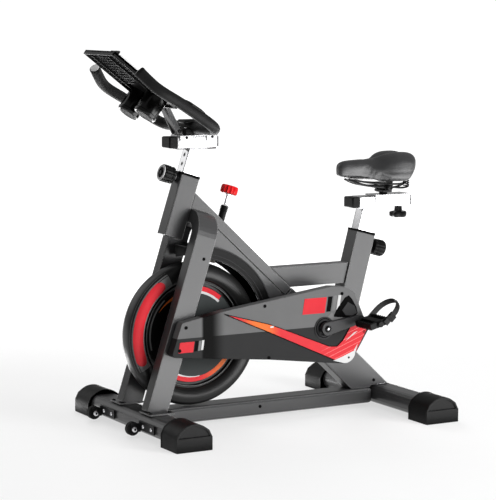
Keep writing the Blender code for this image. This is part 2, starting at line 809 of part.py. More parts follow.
def toe_strap(label, seat):
    """A band that arches over the toe end of the pedal."""
    half = PEDAL_HALF + 0.004
    outline = []
    for thickness in (0.0035, 0.0):
        points = arc((0, 0.030), half + thickness, 0, 180, 10)
        points = [(half + thickness, -0.008)] + points + [(-half - thickness, -0.008)]
        outline += points if thickness else list(reversed(points))
    matrix = seat @ Matrix.Translation((PEDAL_SPAN / 2 - 0.012, 0, 0))
    matrix = matrix @ Matrix.Rotation(math.radians(62), 4, "Y")
    matrix = matrix @ Matrix(((0, 0, 1, 0), (1, 0, 0, 0), (0, 1, 0, 0), (0, 0, 0, 1)))
    strap = slab(f"toe_strap_{label}", outline, 0.018, RUBBER, matrix)
    return hang_on(strap, seat.translation)


def cover_outline(inset=0.0):
    """Side view of the drive cover, wide round the crank and narrow at the flywheel's axle."""
    corner = 0.008
    centre = (CRANK.x + 0.060, CRANK.z + 0.020)
    points = [(-0.300 + inset, 0.336 - inset), (-0.165, 0.359 - inset)]
    points += [(0.215, 0.409 - inset)]
    points += arc((centre[0], centre[1] + 0.040), 0.062 - inset, 88, 32, 5)
    points += [(0.318 - inset, 0.333)]
    points += [(0.347 - inset, 0.268)]
    points += arc((0.262, 0.206), 0.038 - inset, -28, -92, 6)
    points += [(0.190, 0.1765 + inset), (-0.002, 0.202 + inset)]
    points += arc((-0.318, 0.246), 0.012 - inset / 2, 265, 185, 4)
    points += arc((-0.292, 0.328), corner - inset / 2, 170, 110, 3)
    return points[1:]


def chain_cover():
    """Outer shell, the flat back plate behind it and the red trim panel on its face."""
    depth = COVER_IN - COVER_OUT
    middle = (COVER_IN + COVER_OUT) / 2
    shell = slab("chain_cover", cover_outline(), depth, GREY_PLASTIC, side_matrix(middle), 0.0015)
    inside = slab("cover_inside", cover_outline(COVER_WALL), depth, None, side_matrix(middle + COVER_WALL))
    combine(shell, inside)
    opening = rod("cover_opening", 0.024, (CRANK.x, -0.2, CRANK.z), (CRANK.x, -0.1, CRANK.z), None, 32)
    combine(shell, opening)

    back = slab("chain_cover_back", cover_outline(), 0.002, PLASTIC, side_matrix(COVER_IN + GAP + 0.001))
    shaft = rod("back_shaft_hole", 0.012, (WHEEL.x, -0.2, WHEEL.z), (WHEEL.x, 0, WHEEL.z), None, 24)
    spindle = rod("back_shell_hole", 0.022, (CRANK.x, -0.2, CRANK.z), (CRANK.x, 0, CRANK.z), None, 32)
    combine(back, shaft)
    combine(back, spindle)

    trim = [(-0.158, 0.352), (-0.002, 0.309), (0.205, 0.226)]
    trim += [(0.232, 0.224), (0.252, 0.240), (0.290, 0.296), (0.322, 0.300), (0.337, 0.266)]
    trim += arc((0.262, 0.206), 0.034, -28, -92, 5)
    trim += [(0.224, 0.182), (-0.002, 0.284)]
    slab("cover_trim", list(reversed(trim)), 0.002, RED, side_matrix(COVER_OUT - GAP - 0.001))


def tension_control():
    """Sleeve on the strut, the rod through it, the red knob and the felt pad over the flywheel."""
    top = BRAKE_TOP
    seat = sleeve_base()
    profile = [(0.0058, 0.0), (0.0110, 0.0), (0.0110, -seat), (0.0058, -seat)]
    matrix = Matrix.Translation(top) @ Matrix.Rotation(HEAD_TILT, 4, "Y")
    sleeve = turned("brake_sleeve", profile, PLASTIC, matrix, 24)
    edge = spine(0, SPINE_HALF)
    deep = 0.08
    sunk = GAP - deep / 2
    centre = (edge[0] + sunk * math.sin(SPINE_SLOPE), 0, edge[1] + sunk * math.cos(SPINE_SLOPE))
    combine(sleeve, box("sleeve_mitre", (1.0, 0.1, deep), centre, None, SPINE_SLOPE))
    reach = pad_reach()
    rod(
        "brake_rod",
        0.0050,
        leaning(top, HEAD_TILT, 0.036),
        leaning(top, HEAD_TILT, -reach + 0.016),
        STEEL,
        16,
    )
    pad = box(
        "brake_pad",
        (0.030, 0.020, 0.0155),
        leaning(top, HEAD_TILT, -reach + 0.008),
        FELT,
        HEAD_TILT,
        0.001,
    )
    rim = rod(
        "pad_relief",
        WHEEL_RADIUS + BRAKE_PAD_GAP,
        (WHEEL.x, -0.04, WHEEL.z),
        (WHEEL.x, 0.04, WHEEL.z),
        None,
        96,
    )
    combine(pad, rim)
    knob = lobed("tension_knob", 0.0255, 0.027, 8, RED)
    knob.matrix_world = Matrix.Translation(leaning(top, HEAD_TILT, 0.0363)) @ Matrix.Rotation(HEAD_TILT, 4, "Y")
    passage = rod(
        "rod_passage",
        0.0056,
        leaning(top, HEAD_TILT, -reach),
        leaning(top, HEAD_TILT, 0.05),
        None,
        16,
    )
    for name in ("main_strut", "gusset_plate"):
        combine(parts.objects[name], passage)
    pocket = box(
        "pad_pocket",
        (0.036, 0.026, 0.032),
        leaning(top, HEAD_TILT, -reach + 0.014),
        None,
        HEAD_TILT,
    )
    combine(parts.objects["gusset_plate"], pocket)


def sleeve_base():
    """Length of the brake sleeve to just below the strut's upper edge, where the mitre then cuts it."""
    edge = spine(0, SPINE_HALF)
    normal = Vector((math.sin(SPINE_SLOPE), 0, math.cos(SPINE_SLOPE)))
    along = leaning(Vector(), HEAD_TILT, 1)
    gap = (BRAKE_TOP - Vector((edge[0], 0, edge[1]))).dot(normal)
    slant = 0.011 * math.tan(HEAD_TILT + SPINE_SLOPE)
    return gap / along.dot(normal) + slant


def pad_reach():
    """Distance down the rod from the sleeve's top to the face of the pad."""
    offset = BRAKE_TOP - WHEEL
    along = offset.dot(leaning(Vector(), HEAD_TILT, 1))
    radius = WHEEL_RADIUS + BRAKE_PAD_GAP
    return along - math.sqrt(along**2 - offset.length_squared + radius**2)


def lobed(name, radius, height, lobes, finish):
    """A hand knob with finger lobes, standing on its own origin."""
    count = lobes * 6
    outline = []
    for index in range(count):
        angle = 2 * math.pi * index / count
        reach = radius * (0.95 + 0.05 * math.cos(lobes * angle))
        outline.append((reach * math.cos(angle), reach * math.sin(angle)))
    knob = slab(name, outline, height, finish, Matrix.Identity(4))
    for vertex in knob.data.vertices:
        vertex.co.z += height / 2
    return knob


def pull_knob(name, origin, tilt, side, wall):
    """A spring pin with a ribbed grip on the front or rear face of a sleeve."""
    axis = leaning(Vector(), tilt, 0, side)
    tip = 0.0035
    start = origin - tip * axis
    knob = rod(name, 0.0045, start, origin + 0.016 * axis, PLASTIC, 16)
    grip = rod(
        name + "_grip",
        PULL_KNOB_RADIUS,
        origin + 0.014 * axis,
        origin + (0.014 + PULL_KNOB_LENGTH) * axis,
        None,
        24,
    )
    combine(knob, grip, "UNION")
    hole = rod(name + "_hole", 0.0048, origin - 0.006 * axis, origin + 0.02 * axis, None, 16)
    combine(wall, hole)
    collar = rod(name + "_collar", 0.012, origin - 0.001 * axis, origin + 0.0105 * axis, None, 20)
    combine(wall, collar, "UNION")
    wall.modifiers.move(len(wall.modifiers) - 1, len(wall.modifiers) - 2)
    return knob


def pull_knobs():
    """The two spring pins that lock the posts."""
    origin = leaning(HEAD_TOP, HEAD_TILT, -0.014, -HEAD_DEPTH / 2)
    pull_knob("head_pull_knob", origin, HEAD_TILT, -1, parts.objects["head_sleeve"])
    origin = leaning(SEAT_TOP, SEAT_TILT, -0.036, SEAT_DEPTH / 2)
    pull_knob("seat_pull_knob", origin, SEAT_TILT, 1, parts.objects["seat_sleeve"])


def post(name, top_at, tilt, top_z, length, side):
    """A square-cut post with a row of adjustment holes down the face that the pin meets."""
    lean = math.tan(tilt)
    middle_x = top_at.x + (top_z - top_at.z) * lean
    half = POST_DEPTH / 2 / math.cos(tilt)
    foot = leaning(Vector((middle_x, 0, top_z)), tilt, -length)
    low_half = POST_DEPTH / 2
    outline = [
        (middle_x + half, top_z),
        (middle_x - half, top_z),
    ]
    for back in (-low_half, low_half):
        point = leaning(foot, tilt, 0, back)
        outline.append((point.x, point.z))
    made = slab(name, outline, POST_WIDTH, CHROME, None, 0.003)
    face = side * POST_DEPTH / 2
    start = Vector((middle_x, 0, top_z))
    for index in range(6):
        centre = leaning(start, tilt, -0.030 - HOLE_SPACING * index, face)
        axis = leaning(Vector(), tilt, 0, side)
        hole = rod(f"{name}_hole_{index}", 0.0050, centre - 0.008 * axis, centre + 0.004 * axis, None, 12)
        combine(made, hole)
    return made


def rail(name, front, back, low, high):
    """A level rectangular rail."""
    size = (back - front, RAIL_WIDTH, high - low)
    centre = ((back + front) / 2, 0, (high + low) / 2)
    box(name, size, centre, CHROME, soften=0.002)


def carriage(name, front, back, high, flanges, drop):
    """A folded sheet saddle over a rail: a top plate with side flanges."""
    sheet = CARRIAGE_SHEET
    width = RAIL_WIDTH + 2 * (sheet + 2 * GAP)
    top = box(
        name,
        (back - front, width, sheet),
        ((front + back) / 2, 0, high + GAP + sheet / 2),
        STEEL,
    )
    for index, (start, end) in enumerate(flanges):
        for label, sign in (("near", -1), ("far", 1)):
            flange = box(
                f"{name}_flange_{index}_{label}",
                (end - start, sheet, drop + sheet),
                ((start + end) / 2, sign * (width - sheet) / 2, high + GAP + (sheet - drop) / 2),
            )
            combine(top, flange, "UNION")
    return top


def handlebar_group():
    """Post, rail, carriage, bar, clamp, brace, rack and cups."""
    post("handlebar_post", HEAD_TOP, HEAD_TILT, HEAD_RAIL_LOW - GAP, HEAD_POST_LENGTH, -1)
    rail("handlebar_rail", HEAD_RAIL_FRONT, HEAD_RAIL_BACK, HEAD_RAIL_LOW, HEAD_RAIL_HIGH)
    front, back = -0.246, -0.121
    flanges = ((front, front + 0.045), (back - 0.036, back))
    carriage("handlebar_carriage", front, back, HEAD_RAIL_HIGH, flanges, 0.014)

    base = HEAD_RAIL_HIGH + CARRIAGE_SHEET + 2 * GAP
    height = 0.020
    block = box(
        "bar_clamp",
        (0.064, 0.056, height),
        (BAR_CENTRE.x, 0, base + height / 2),
        PLASTIC,
        soften=0.003,
    )
    groove = rod("bar_groove", BAR_RADIUS + GAP, BAR_CENTRE - Vector((0, 0.1, 0)), BAR_CENTRE + Vector((0, 0.1, 0)))
    combine(block, groove)

    half = [
        (BAR_CENTRE.x, 0.000, BAR_CENTRE.z),
        (BAR_CENTRE.x, 0.060, BAR_CENTRE.z),
        (BAR_CENTRE.x, 0.115, BAR_CENTRE.z),
        (-0.200, 0.160, 0.9000),
        (-0.222, 0.184, 0.9140),
        (-0.262, BAR_HALF, 0.9400),
        (-0.320, BAR_HALF, 0.9770),
        (-0.372, BAR_HALF - 0.001, 1.0070),
        (-0.398, BAR_HALF - 0.010, 1.0260),
        (-0.418, BAR_HALF - 0.025, 1.0480),
        (-0.437, BAR_HALF - 0.040, 1.0720),
    ]
    mirrored = [(x, -y, z) for x, y, z in reversed(half[1:])]
    pipe("handlebar", mirrored + half, BAR_RADIUS, FOAM, 3)
    brace()
    device_rack()


def rack_point(up, out=0.0, y=0.0):
    """A point on the rack: up the slope from its low edge, out square to it, and across."""
    return Vector(
        (
            RACK_LOW.x - up * math.cos(RACK_TILT) + out * math.sin(RACK_TILT),
            y,
            RACK_LOW.z + up * math.sin(RACK_TILT) + out * math.cos(RACK_TILT),
        )
    )


def brace():
    """The arm from the carriage up to the rack."""
    seat = HEAD_RAIL_HIGH + CARRIAGE_SHEET + 2 * GAP
    under = -RACK_THICKNESS / 2 - GAP
    upper_front = rack_point(0.020, under)
    upper_back = rack_point(-0.008, under)
    outline = [
        (-0.2335, seat),
        (upper_back.x, upper_back.z),
        (upper_front.x, upper_front.z),
        (-0.2450, seat + 0.008),
        (-0.2450, seat),
    ]
    slab("rack_brace", list(reversed(outline)), 0.028, PAINT, None, 0.002)


def device_rack():
    """The tilted tray with its lip, two cup holes and the cups that hang in them."""
    axes = Matrix.Rotation(RACK_TILT, 4, "Y")
    middle = rack_point(RACK_LENGTH / 2)
    tray = box("device_rack", (RACK_LENGTH, 2 * RACK_HALF, RACK_THICKNESS), middle, PLASTIC, RACK_TILT)
    lip_at = rack_point(0.100, 0.008)
    lip = box("rack_lip", (0.004, 0.150, 0.020), lip_at)
    lip.matrix_world = Matrix.Translation(lip_at) @ axes
    combine(tray, lip, "UNION")
    down = rack_point(0, -1) - rack_point(0)
    for label, sign in (("near", -1), ("far", 1)):
        centre = rack_point(CUP_UP, 0, sign * CUP_Y)
        hole = rod(f"cup_hole_{label}", CUP_RADIUS + GAP, centre - 0.02 * down, centre + 0.02 * down, None, 32)
        combine(tray, hole)
        top = RACK_THICKNESS / 2 + GAP
        wall = CUP_RADIUS - CUP_WALL
        profile = [
            (0.0, CUP_WALL - CUP_DEPTH),
            (wall, CUP_WALL - CUP_DEPTH),
            (wall, top + 0.002),
            (CUP_RADIUS + 0.004, top + 0.002),
            (CUP_RADIUS + 0.004, top),
            (CUP_RADIUS, top),
            (CUP_RADIUS, -CUP_DEPTH),
            (0.0, -CUP_DEPTH),
        ]
        matrix = Matrix.Translation(centre) @ axes
        turned(f"cup_{label}", profile, PLASTIC, matrix, 32, False)


def saddle_group():
    """Seat post, rail, carriage, clamp knob, saddle clamp, its wire frame and the padded saddle."""
    post("seat_post", SEAT_TOP, SEAT_TILT, SEAT_RAIL_LOW - GAP, SEAT_POST_LENGTH, 1)
    rail("seat_rail", SEAT_RAIL_FRONT, SEAT_RAIL_BACK, SEAT_RAIL_LOW, SEAT_RAIL_HIGH)
    carriage("seat_carriage", 0.439, 0.568, SEAT_RAIL_HIGH, ((0.439, 0.568),), 0.020)
    knob = lobed("seat_knob", 0.0285, 0.018, 5, PLASTIC)
    knob.matrix_world = Matrix.Translation((0.544, 0, 0.593))
    stem = rod("seat_knob_stem", 0.010, (0.544, 0, 0.600), (0.544, 0, SEAT_RAIL_LOW - GAP), None, 16)
    combine(knob, stem, "UNION")

    base = SEAT_RAIL_HIGH + CARRIAGE_SHEET + 2 * GAP
    pivot = SADDLE_PIVOT
    post_stub = rod("saddle_clamp", 0.0130, (pivot.x, 0, base), (pivot.x, 0, pivot.z), PLASTIC, 24)
    bolt = rod("saddle_bolt", 0.0060, (pivot.x, -0.038, pivot.z), (pivot.x, 0.038, pivot.z), None, 16)
    combine(post_stub, bolt, "UNION")
    for label, sign in (("near", -1), ("far", 1)):
        saddle_wire(label, sign)
    saddle()


def saddle_wire(label, sign):
    """One sprung wire of the saddle's frame, with the jaw that the clamp bolt passes through."""
    pivot = SADDLE_PIVOT
    y = sign * 0.025
    points = [
        (0.352, sign * 0.010, 0.7185),
        (0.400, sign * 0.018, 0.7020),
        (0.450, y, 0.6930),
        (pivot.x, y, pivot.z),
        (0.515, y, 0.6905),
        (0.535, sign * 0.034, 0.6985),
        (0.540, sign * 0.046, 0.7050),
    ]
    wire = pipe(f"saddle_frame_{label}", points, 0.0035, STEEL, 2)
    jaw = rod(
        f"saddle_jaw_{label}",
        0.0125,
        (pivot.x, y - 0.007, pivot.z),
        (pivot.x, y + 0.007, pivot.z),
        None,
        20,
    )
    bore = rod(
        f"saddle_jaw_bore_{label}",
        0.0064,
        (pivot.x, y - 0.02, pivot.z),
        (pivot.x, y + 0.02, pivot.z),
        None,
        16,
    )
    combine(wire, jaw, "UNION")
    combine(wire, bore)
    hang_on(wire, (pivot.x, y, pivot.z))


def saddle_section(t):
    """Half width, top, bottom and skirt depth of the saddle at a fraction t from nose to tail."""
    nose = math.sqrt(max(0.0, 1 - (1 - min(t / 0.12, 1)) ** 2))
    tail = math.sqrt(max(0.0, 1 - max(0.0, (t - 0.84) / 0.16) ** 2))
    spread = 1 / (1 + math.exp(-(t - 0.56) / 0.075))
    half = (0.027 + (SADDLE_HALF - 0.027) * spread) * (0.35 + 0.65 * nose) * (0.45 + 0.55 * tail)
    top = 0.776 + 0.027 / (1 + math.exp(-(t - 0.55) / 0.07)) - 0.016 * (1 - nose) - 0.014 * (1 - tail)
    bottom = 0.724 - 0.0035 * math.sin(math.pi * min(t / 0.8, 1)) + 0.004 * (1 - nose) + 0.008 * (1 - tail)
    skirt = 0.010 + 0.070 / (1 + math.exp(-(t - 0.52) / 0.08))
    return half, top, bottom, skirt


def saddle():
    """The padded saddle as one closed loft of rounded sections."""
    shape = bmesh.new()
    rings = []
    stations = 18
    around = 18
    for step in range(stations + 1):
        t = step / stations
        half, top, bottom, skirt = saddle_section(t)
        middle = (top + bottom) / 2
        tall = (top - bottom) / 2
        x = SADDLE_NOSE + SADDLE_LENGTH * t
        ring = []
        for index in range(around):
            angle = 2 * math.pi * index / around
            across = math.copysign(abs(math.cos(angle)) ** 0.75, math.cos(angle))
            rise = math.copysign(abs(math.sin(angle)) ** 0.75, math.sin(angle))
            drop = skirt * max(0.0, -rise) * across**4
            ring.append(shape.verts.new((x, half * across, middle + tall * rise - drop)))
        rings.append(ring)
    for first, second in zip(rings, rings[1:]):
        for index in range(around):
            after = (index + 1) % around
            shape.faces.new((first[index], first[after], second[after], second[index]))
    shape.faces.new(rings[0])
    shape.faces.new(list(reversed(rings[-1])))
    bmesh.ops.recalc_face_normals(shape, faces=shape.faces)
    hang_on(from_bmesh("saddle", shape, VINYL), SADDLE_PIVOT)


def settle():
    """Parent every piece to one empty that holds the shift to the middle of the outer box."""
    hub = bpy.data.objects.new(OBJECT_NAME + "_frame", None)
    parts.objects.link(hub)
    hub.location.x = BIKE_SHIFT
    for obj in list(parts.objects) + list(cutters.objects):
        if obj is not hub:
            obj.parent = hub


def set_smooth():
    """Shade the rounded faces smooth and keep the sharp edges."""
    for obj in parts.objects:
        if obj.type != "MESH":
            continue
        obj.data.shade_smooth()
        obj.data.set_sharp_from_angle(angle=math.radians(35))


bike_base()
fork_and_head()
spine_frame()
flywheel_group()
drive_group()
tension_control()
pull_knobs()
handlebar_group()
saddle_group()
settle()
set_smooth()
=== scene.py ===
"""Looks for the indoor spin bike: camera, light, materials and detailed pieces around the CAD frame.

Metres, +Z up, +X towards the saddle end, -Y the side with the drive cover. The origin is on the floor.
"""

import math

import bmesh
import bpy
from mathutils import Matrix, Vector


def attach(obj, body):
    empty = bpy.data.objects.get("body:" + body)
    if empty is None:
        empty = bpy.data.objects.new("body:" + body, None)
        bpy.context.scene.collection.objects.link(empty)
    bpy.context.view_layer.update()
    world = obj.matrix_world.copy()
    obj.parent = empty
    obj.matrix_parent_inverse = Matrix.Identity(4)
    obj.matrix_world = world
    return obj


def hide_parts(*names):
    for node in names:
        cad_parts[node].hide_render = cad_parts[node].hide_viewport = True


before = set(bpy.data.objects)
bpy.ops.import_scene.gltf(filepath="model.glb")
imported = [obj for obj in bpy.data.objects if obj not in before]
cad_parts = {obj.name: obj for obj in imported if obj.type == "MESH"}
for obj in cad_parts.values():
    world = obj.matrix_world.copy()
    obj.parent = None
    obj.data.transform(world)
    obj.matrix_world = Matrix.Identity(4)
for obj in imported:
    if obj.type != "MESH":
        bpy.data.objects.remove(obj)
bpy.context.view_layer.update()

# The tubes were laid out from the middle of the base, which is this far from the origin along X.
BASE_X = -0.042635


def at(x, y, z):
    """A point given from the middle of the base."""
    return Vector((x + BASE_X, y, z))


HEAD_TILT = math.radians(18)
SEAT_TILT = math.radians(15)
RACK_TILT = math.radians(38)
WHEEL = at(-0.200, 0, 0.279)
CRANK = at(0.187, 0, 0.284)
HEAD_TOP = at(-0.208, 0, 0.755)
SEAT_TOP = at(0.4065, 0, 0.5525)
BRAKE_TOP = at(-0.080, 0, 0.658)
RACK_LOW = at(-0.286, 0, 0.966)
SADDLE_PIVOT = at(0.486, 0, 0.690)
COVER_FACE = -0.140
CRANK_LENGTH = 0.120
SADDLE_NOSE = 0.315
SADDLE_LENGTH = 0.260
UP = Vector((0, 0, 1))
NEAR = Vector((0, -1, 0))
SIDES = (("near", -1), ("far", 1))


def leaning(origin, tilt, up=0.0, back=0.0, y=0.0):
    """A point in a frame that leans back by tilt: up along the lean, back at right angles to it."""
    along = Vector((math.sin(tilt), 0, math.cos(tilt)))
    across = Vector((math.cos(tilt), 0, -math.sin(tilt)))
    return origin + up * along + back * across + Vector((0, y, 0))


def rack_point(up, out=0.0, y=0.0):
    """A point on the rack: up the slope from its low edge, out square to it, and across."""
    slope = Vector((-math.cos(RACK_TILT), 0, math.sin(RACK_TILT)))
    normal = Vector((math.sin(RACK_TILT), 0, math.cos(RACK_TILT)))
    return RACK_LOW + up * slope + out * normal + Vector((0, y, 0))


# Materials


def add(tree, kind, inputs=None, **settings):
    """Add a shader node; an input given as a socket is linked, anything else is set."""
    made = tree.nodes.new("ShaderNode" + kind)
    for key, value in settings.items():
        setattr(made, key, value)
    for key, value in (inputs or {}).items():
        if isinstance(value, bpy.types.NodeSocket):
            tree.links.new(value, made.inputs[key])
        else:
            made.inputs[key].default_value = value
    return made


def math_of(tree, operation, first, second=0.0):
    """The output of one Math node."""
    return add(tree, "Math", {0: first, 1: second}, operation=operation).outputs[0]


def ramp(tree, value, low, high, start=0.0, end=1.0):
    """Map a value smoothly from the range low..high to start..end."""
    inputs = {"Value": value, "From Min": low, "From Max": high, "To Min": start, "To Max": end}
    return add(tree, "MapRange", inputs, interpolation_type="SMOOTHSTEP").outputs[0]


def mixed(tree, factor, first, second):
    """Blend two colours, each a socket or an (r, g, b)."""
    colours = [c if isinstance(c, bpy.types.NodeSocket) else (*c, 1) for c in (first, second)]
    return add(tree, "Mix", {0: factor, 6: colours[0], 7: colours[1]}, data_type="RGBA").outputs[2]


def finish(
    name,
    colour,
    roughness,
    metallic=0.0,
    mottle=0.12,
    mottle_scale=14.0,
    grain=0.05,
    grain_scale=700.0,
    edge_wear_and_reflection=0.0,
    edge=0.0,
    edge_wear_and_reflection_tone=None,
    specular=0.5,
    pattern=None,
):
    """A surface with soft colour mottle, uneven gloss, fine grain and toned edges: a pale tone paints wear
    and an edge highlight, a dark tone paints a dark edge reflection.

    edge_wear_and_reflection is how strongly the toned edges show, edge how wide they are, and
    edge_wear_and_reflection_tone their colour, which is paler than the surface if it isn't given. pattern, if
    given, paints the base colour from the object's own coordinates.
    """
    made = bpy.data.materials.new(name)
    made.use_nodes = True
    tree = made.node_tree
    shader = tree.nodes["Principled BSDF"]
    shader.inputs["Metallic"].default_value = metallic
    shader.inputs["Specular IOR Level"].default_value = specular
    place = add(tree, "TexCoord").outputs["Object"]
    cloud = add(tree, "TexNoise", {"Vector": place, "Scale": mottle_scale, "Detail": 4.0}).outputs[0]
    base = colour if pattern is None else pattern(tree, place)
    darker = mixed(tree, 1 - mottle, (0, 0, 0), base)
    shade = mixed(tree, ramp(tree, cloud, 0.3, 0.7), darker, base)
    soft = add(tree, "Bevel", {"Radius": edge}, samples=4).outputs[0] if edge else None
    # Edges found from the bevel normal get the edge tone: painted wear with a painted highlight, and a
    # painted dark reflection where the tone is dark.
    if edge_wear_and_reflection:
        tone = edge_wear_and_reflection_tone or tuple(0.07 + 2.2 * value for value in colour)
        flat = add(tree, "NewGeometry").outputs["Normal"]
        facing_edge = add(tree, "VectorMath", {0: soft, 1: flat}, operation="DOT_PRODUCT").outputs["Value"]
        edge_wear_and_reflection_mask = ramp(tree, facing_edge, 0.86, 0.985, edge_wear_and_reflection, 0.0)
        shade = mixed(tree, edge_wear_and_reflection_mask, shade, tone)
    tree.links.new(shade, shader.inputs["Base Color"])
    gloss = ramp(tree, cloud, 0.25, 0.75, roughness * (1 - mottle), min(1.0, roughness * (1 + mottle)))
    tree.links.new(gloss, shader.inputs["Roughness"])
    fine = add(tree, "TexNoise", {"Vector": place, "Scale": grain_scale, "Detail": 2.0}).outputs[0]
    bump_inputs = {"Height": fine, "Strength": grain, "Distance": 0.001}
    if edge:
        bump_inputs["Normal"] = soft
    tree.links.new(add(tree, "Bump", bump_inputs).outputs[0], shader.inputs["Normal"])
    return made


def split(tree, place):
    """The X and Z of a coordinate."""
    outputs = add(tree, "SeparateXYZ", {0: place}).outputs
    return outputs["X"], outputs["Z"]


COVER_LIGHT = (0.125, 0.125, 0.126)
COVER_DARK = (0.023, 0.023, 0.0235)
RED = (0.52, 0.020, 0.028)
ORANGE = (0.62, 0.13, 0.020)


def cover_paint(tree, place):
    """Lighter grey above a level line, darker below, with a soft black band near the front."""
    x, z = split(tree, place)
    upper = ramp(tree, z, 0.2885, 0.2900)
    face = mixed(tree, upper, COVER_DARK, COVER_LIGHT)
    rise = ramp(tree, x, BASE_X - 0.236, BASE_X - 0.226)
    fall = ramp(tree, x, BASE_X - 0.200, BASE_X - 0.150, 1.0, 0.0)
    band = math_of(tree, "MULTIPLY", rise, fall)
    return mixed(tree, band, face, (0.0015, 0.0015, 0.0015))


def swoosh_paint(tree, place):
    """Red with an orange middle, and fine pale slanting lines towards the rear."""
    x, z = split(tree, place)
    rise = ramp(tree, x, BASE_X - 0.110, BASE_X - 0.050)
    fall = ramp(tree, x, BASE_X - 0.020, BASE_X + 0.040, 1.0, 0.0)
    warm = mixed(tree, math_of(tree, "MULTIPLY", rise, fall), RED, ORANGE)
    slant = math_of(tree, "SUBTRACT", z, math_of(tree, "MULTIPLY", x, 0.36))
    wave = math_of(tree, "PINGPONG", slant, 0.0075)
    line = ramp(tree, wave, 0.0, 0.0007, 1.0, 0.0)
    rear = ramp(tree, x, BASE_X + 0.165, BASE_X + 0.215)
    strength = math_of(tree, "MULTIPLY", math_of(tree, "MULTIPLY", line, rear), 0.55)
    return mixed(tree, strength, warm, (0.95, 0.62, 0.60))


def sweep_paint(tree, place):
    """Red that turns orange towards the rear of the wheel."""
    x = split(tree, place)[0]
    return mixed(tree, ramp(tree, x, WHEEL.x + 0.02, WHEEL.x + 0.11), RED, ORANGE)


def vinyl_paint(tree, place):
    """Black with faint pebbled tone."""
    cells = add(tree, "TexVoronoi", {"Vector": place, "Scale": 900.0}).outputs["Distance"]
    return mixed(tree, ramp(tree, cells, 0.0, 0.6), (0.016, 0.016, 0.017), (0.028, 0.028, 0.029))


# The frame's pale edge tone is a painted highlight along the tube edges.
PAINT = finish(
    "bike_frame_paint", (0.045, 0.045, 0.046), 0.30, mottle=0.05, edge_wear_and_reflection=0.55, edge=0.004,
    edge_wear_and_reflection_tone=(0.5, 0.5, 0.5), grain=0.04, specular=0.42,
)
# The cap's paler edges are edge wear and a painted edge highlight.
CAP = finish(
    "bike_cap", (0.006, 0.006, 0.006), 0.40, edge_wear_and_reflection=0.25, edge=0.003, grain=0.16, grain_scale=1200,
    specular=0.09,
)
PLASTIC = finish(
    "bike_black_plastic", (0.004, 0.004, 0.004), 0.38, edge=0.0012, grain=0.12, grain_scale=1400,
    specular=0.10,
)
GLOSS_BLACK = finish("bike_gloss_black", (0.002, 0.002, 0.002), 0.14, grain=0.0, specular=0.25)
GREY_PLASTIC = finish(
    "bike_grey_plastic", (0.035, 0.035, 0.036), 0.42, specular=0.05, grain=0.10, grain_scale=1200,
)
COVER = finish(
    "bike_cover", COVER_LIGHT, 0.40, mottle=0.06, grain=0.10, grain_scale=1100, edge=0.003, specular=0.03,
    pattern=cover_paint,
)
SWOOSH = finish("bike_swoosh", RED, 0.35, mottle=0.05, grain=0.03, specular=0.10, pattern=swoosh_paint)
SWEEP = finish("bike_sweep", RED, 0.35, mottle=0.05, grain=0.03, specular=0.10, pattern=sweep_paint)
# The chrome's near-black edge tone is a painted dark reflection along its rounded edges.
CHROME = finish(
    "bike_chrome", (0.66, 0.66, 0.67), 0.14, 1.0, mottle=0.04, edge_wear_and_reflection=1.0, edge=0.0055,
    edge_wear_and_reflection_tone=(0.02, 0.02, 0.02), grain=0.02,
)
STEEL = finish("bike_steel", (0.42, 0.42, 0.43), 0.32, 1.0, mottle=0.18, grain=0.06, edge=0.001)
ZINC = finish("bike_zinc", (0.78, 0.78, 0.80), 0.22, 1.0, mottle=0.08, grain=0.04)
IRON = finish("bike_flywheel", (0.008, 0.008, 0.008), 0.34, mottle=0.12, grain=0.05, specular=0.28)
DISC = finish("bike_disc", (0.040, 0.044, 0.044), 0.45, mottle=0.08, grain=0.06, specular=0.03)
# The dark steel's paler edges are edge wear and a painted edge highlight.
DARK_STEEL = finish(
    "bike_dark_steel", (0.014, 0.014, 0.0145), 0.32, 0.3, mottle=0.2, edge_wear_and_reflection=0.3, edge=0.0015,
    specular=0.15,
)
# The crank arm's paler edges are edge wear and a painted edge highlight.
ARM = finish("bike_crank", (0.030, 0.030, 0.031), 0.36, mottle=0.15, edge_wear_and_reflection=0.4, edge=0.002, specular=0.14)
RUBBER = finish("bike_rubber", (0.007, 0.007, 0.007), 0.65, specular=0.2, grain=0.25, grain_scale=900)
FOAM = finish(
    "bike_foam", (0.008, 0.008, 0.008), 0.50, mottle=0.2, grain=0.45, grain_scale=1500, specular=0.13,
)
VINYL = finish(
    "bike_vinyl", (0.03, 0.03, 0.031), 0.36, mottle=0.15, grain=0.35, grain_scale=1100, specular=0.55,
    pattern=vinyl_paint,
)
RED_PLASTIC = finish("bike_red", (0.60, 0.010, 0.012), 0.35, specular=0.1, mottle=0.08, grain=0.05)
RED_DECAL = finish("bike_red_decal", (0.55, 0.026, 0.036), 0.38, specular=0.05, mottle=0.10, grain=0.03)
# Colour of the flywheel's painted orange reflection.
ORANGE_REFLECTION = finish("bike_painted_orange_reflection", ORANGE, 0.38, specular=0.10, mottle=0.10, grain=0.03)
WHITE_DECAL = finish("bike_white_decal", (0.50, 0.50, 0.50), 0.35, specular=0.2, mottle=0.04, grain=0.03)
GREY_DECAL = finish("bike_grey_decal", (0.15, 0.15, 0.15), 0.38, specular=0.08, mottle=0.06, grain=0.03)
BLACK_DECAL = finish("bike_black_decal", (0.002, 0.002, 0.002), 0.45, mottle=0.06, grain=0.03, specular=0.02)
LIGHT_CAP = finish("bike_light_cap", (0.62, 0.62, 0.62), 0.45, mottle=0.08, grain=0.08, specular=0.2)
FELT = finish("bike_felt", (0.22, 0.19, 0.15), 0.95, mottle=0.35, mottle_scale=90, grain=0.9, grain_scale=600)


# Pieces


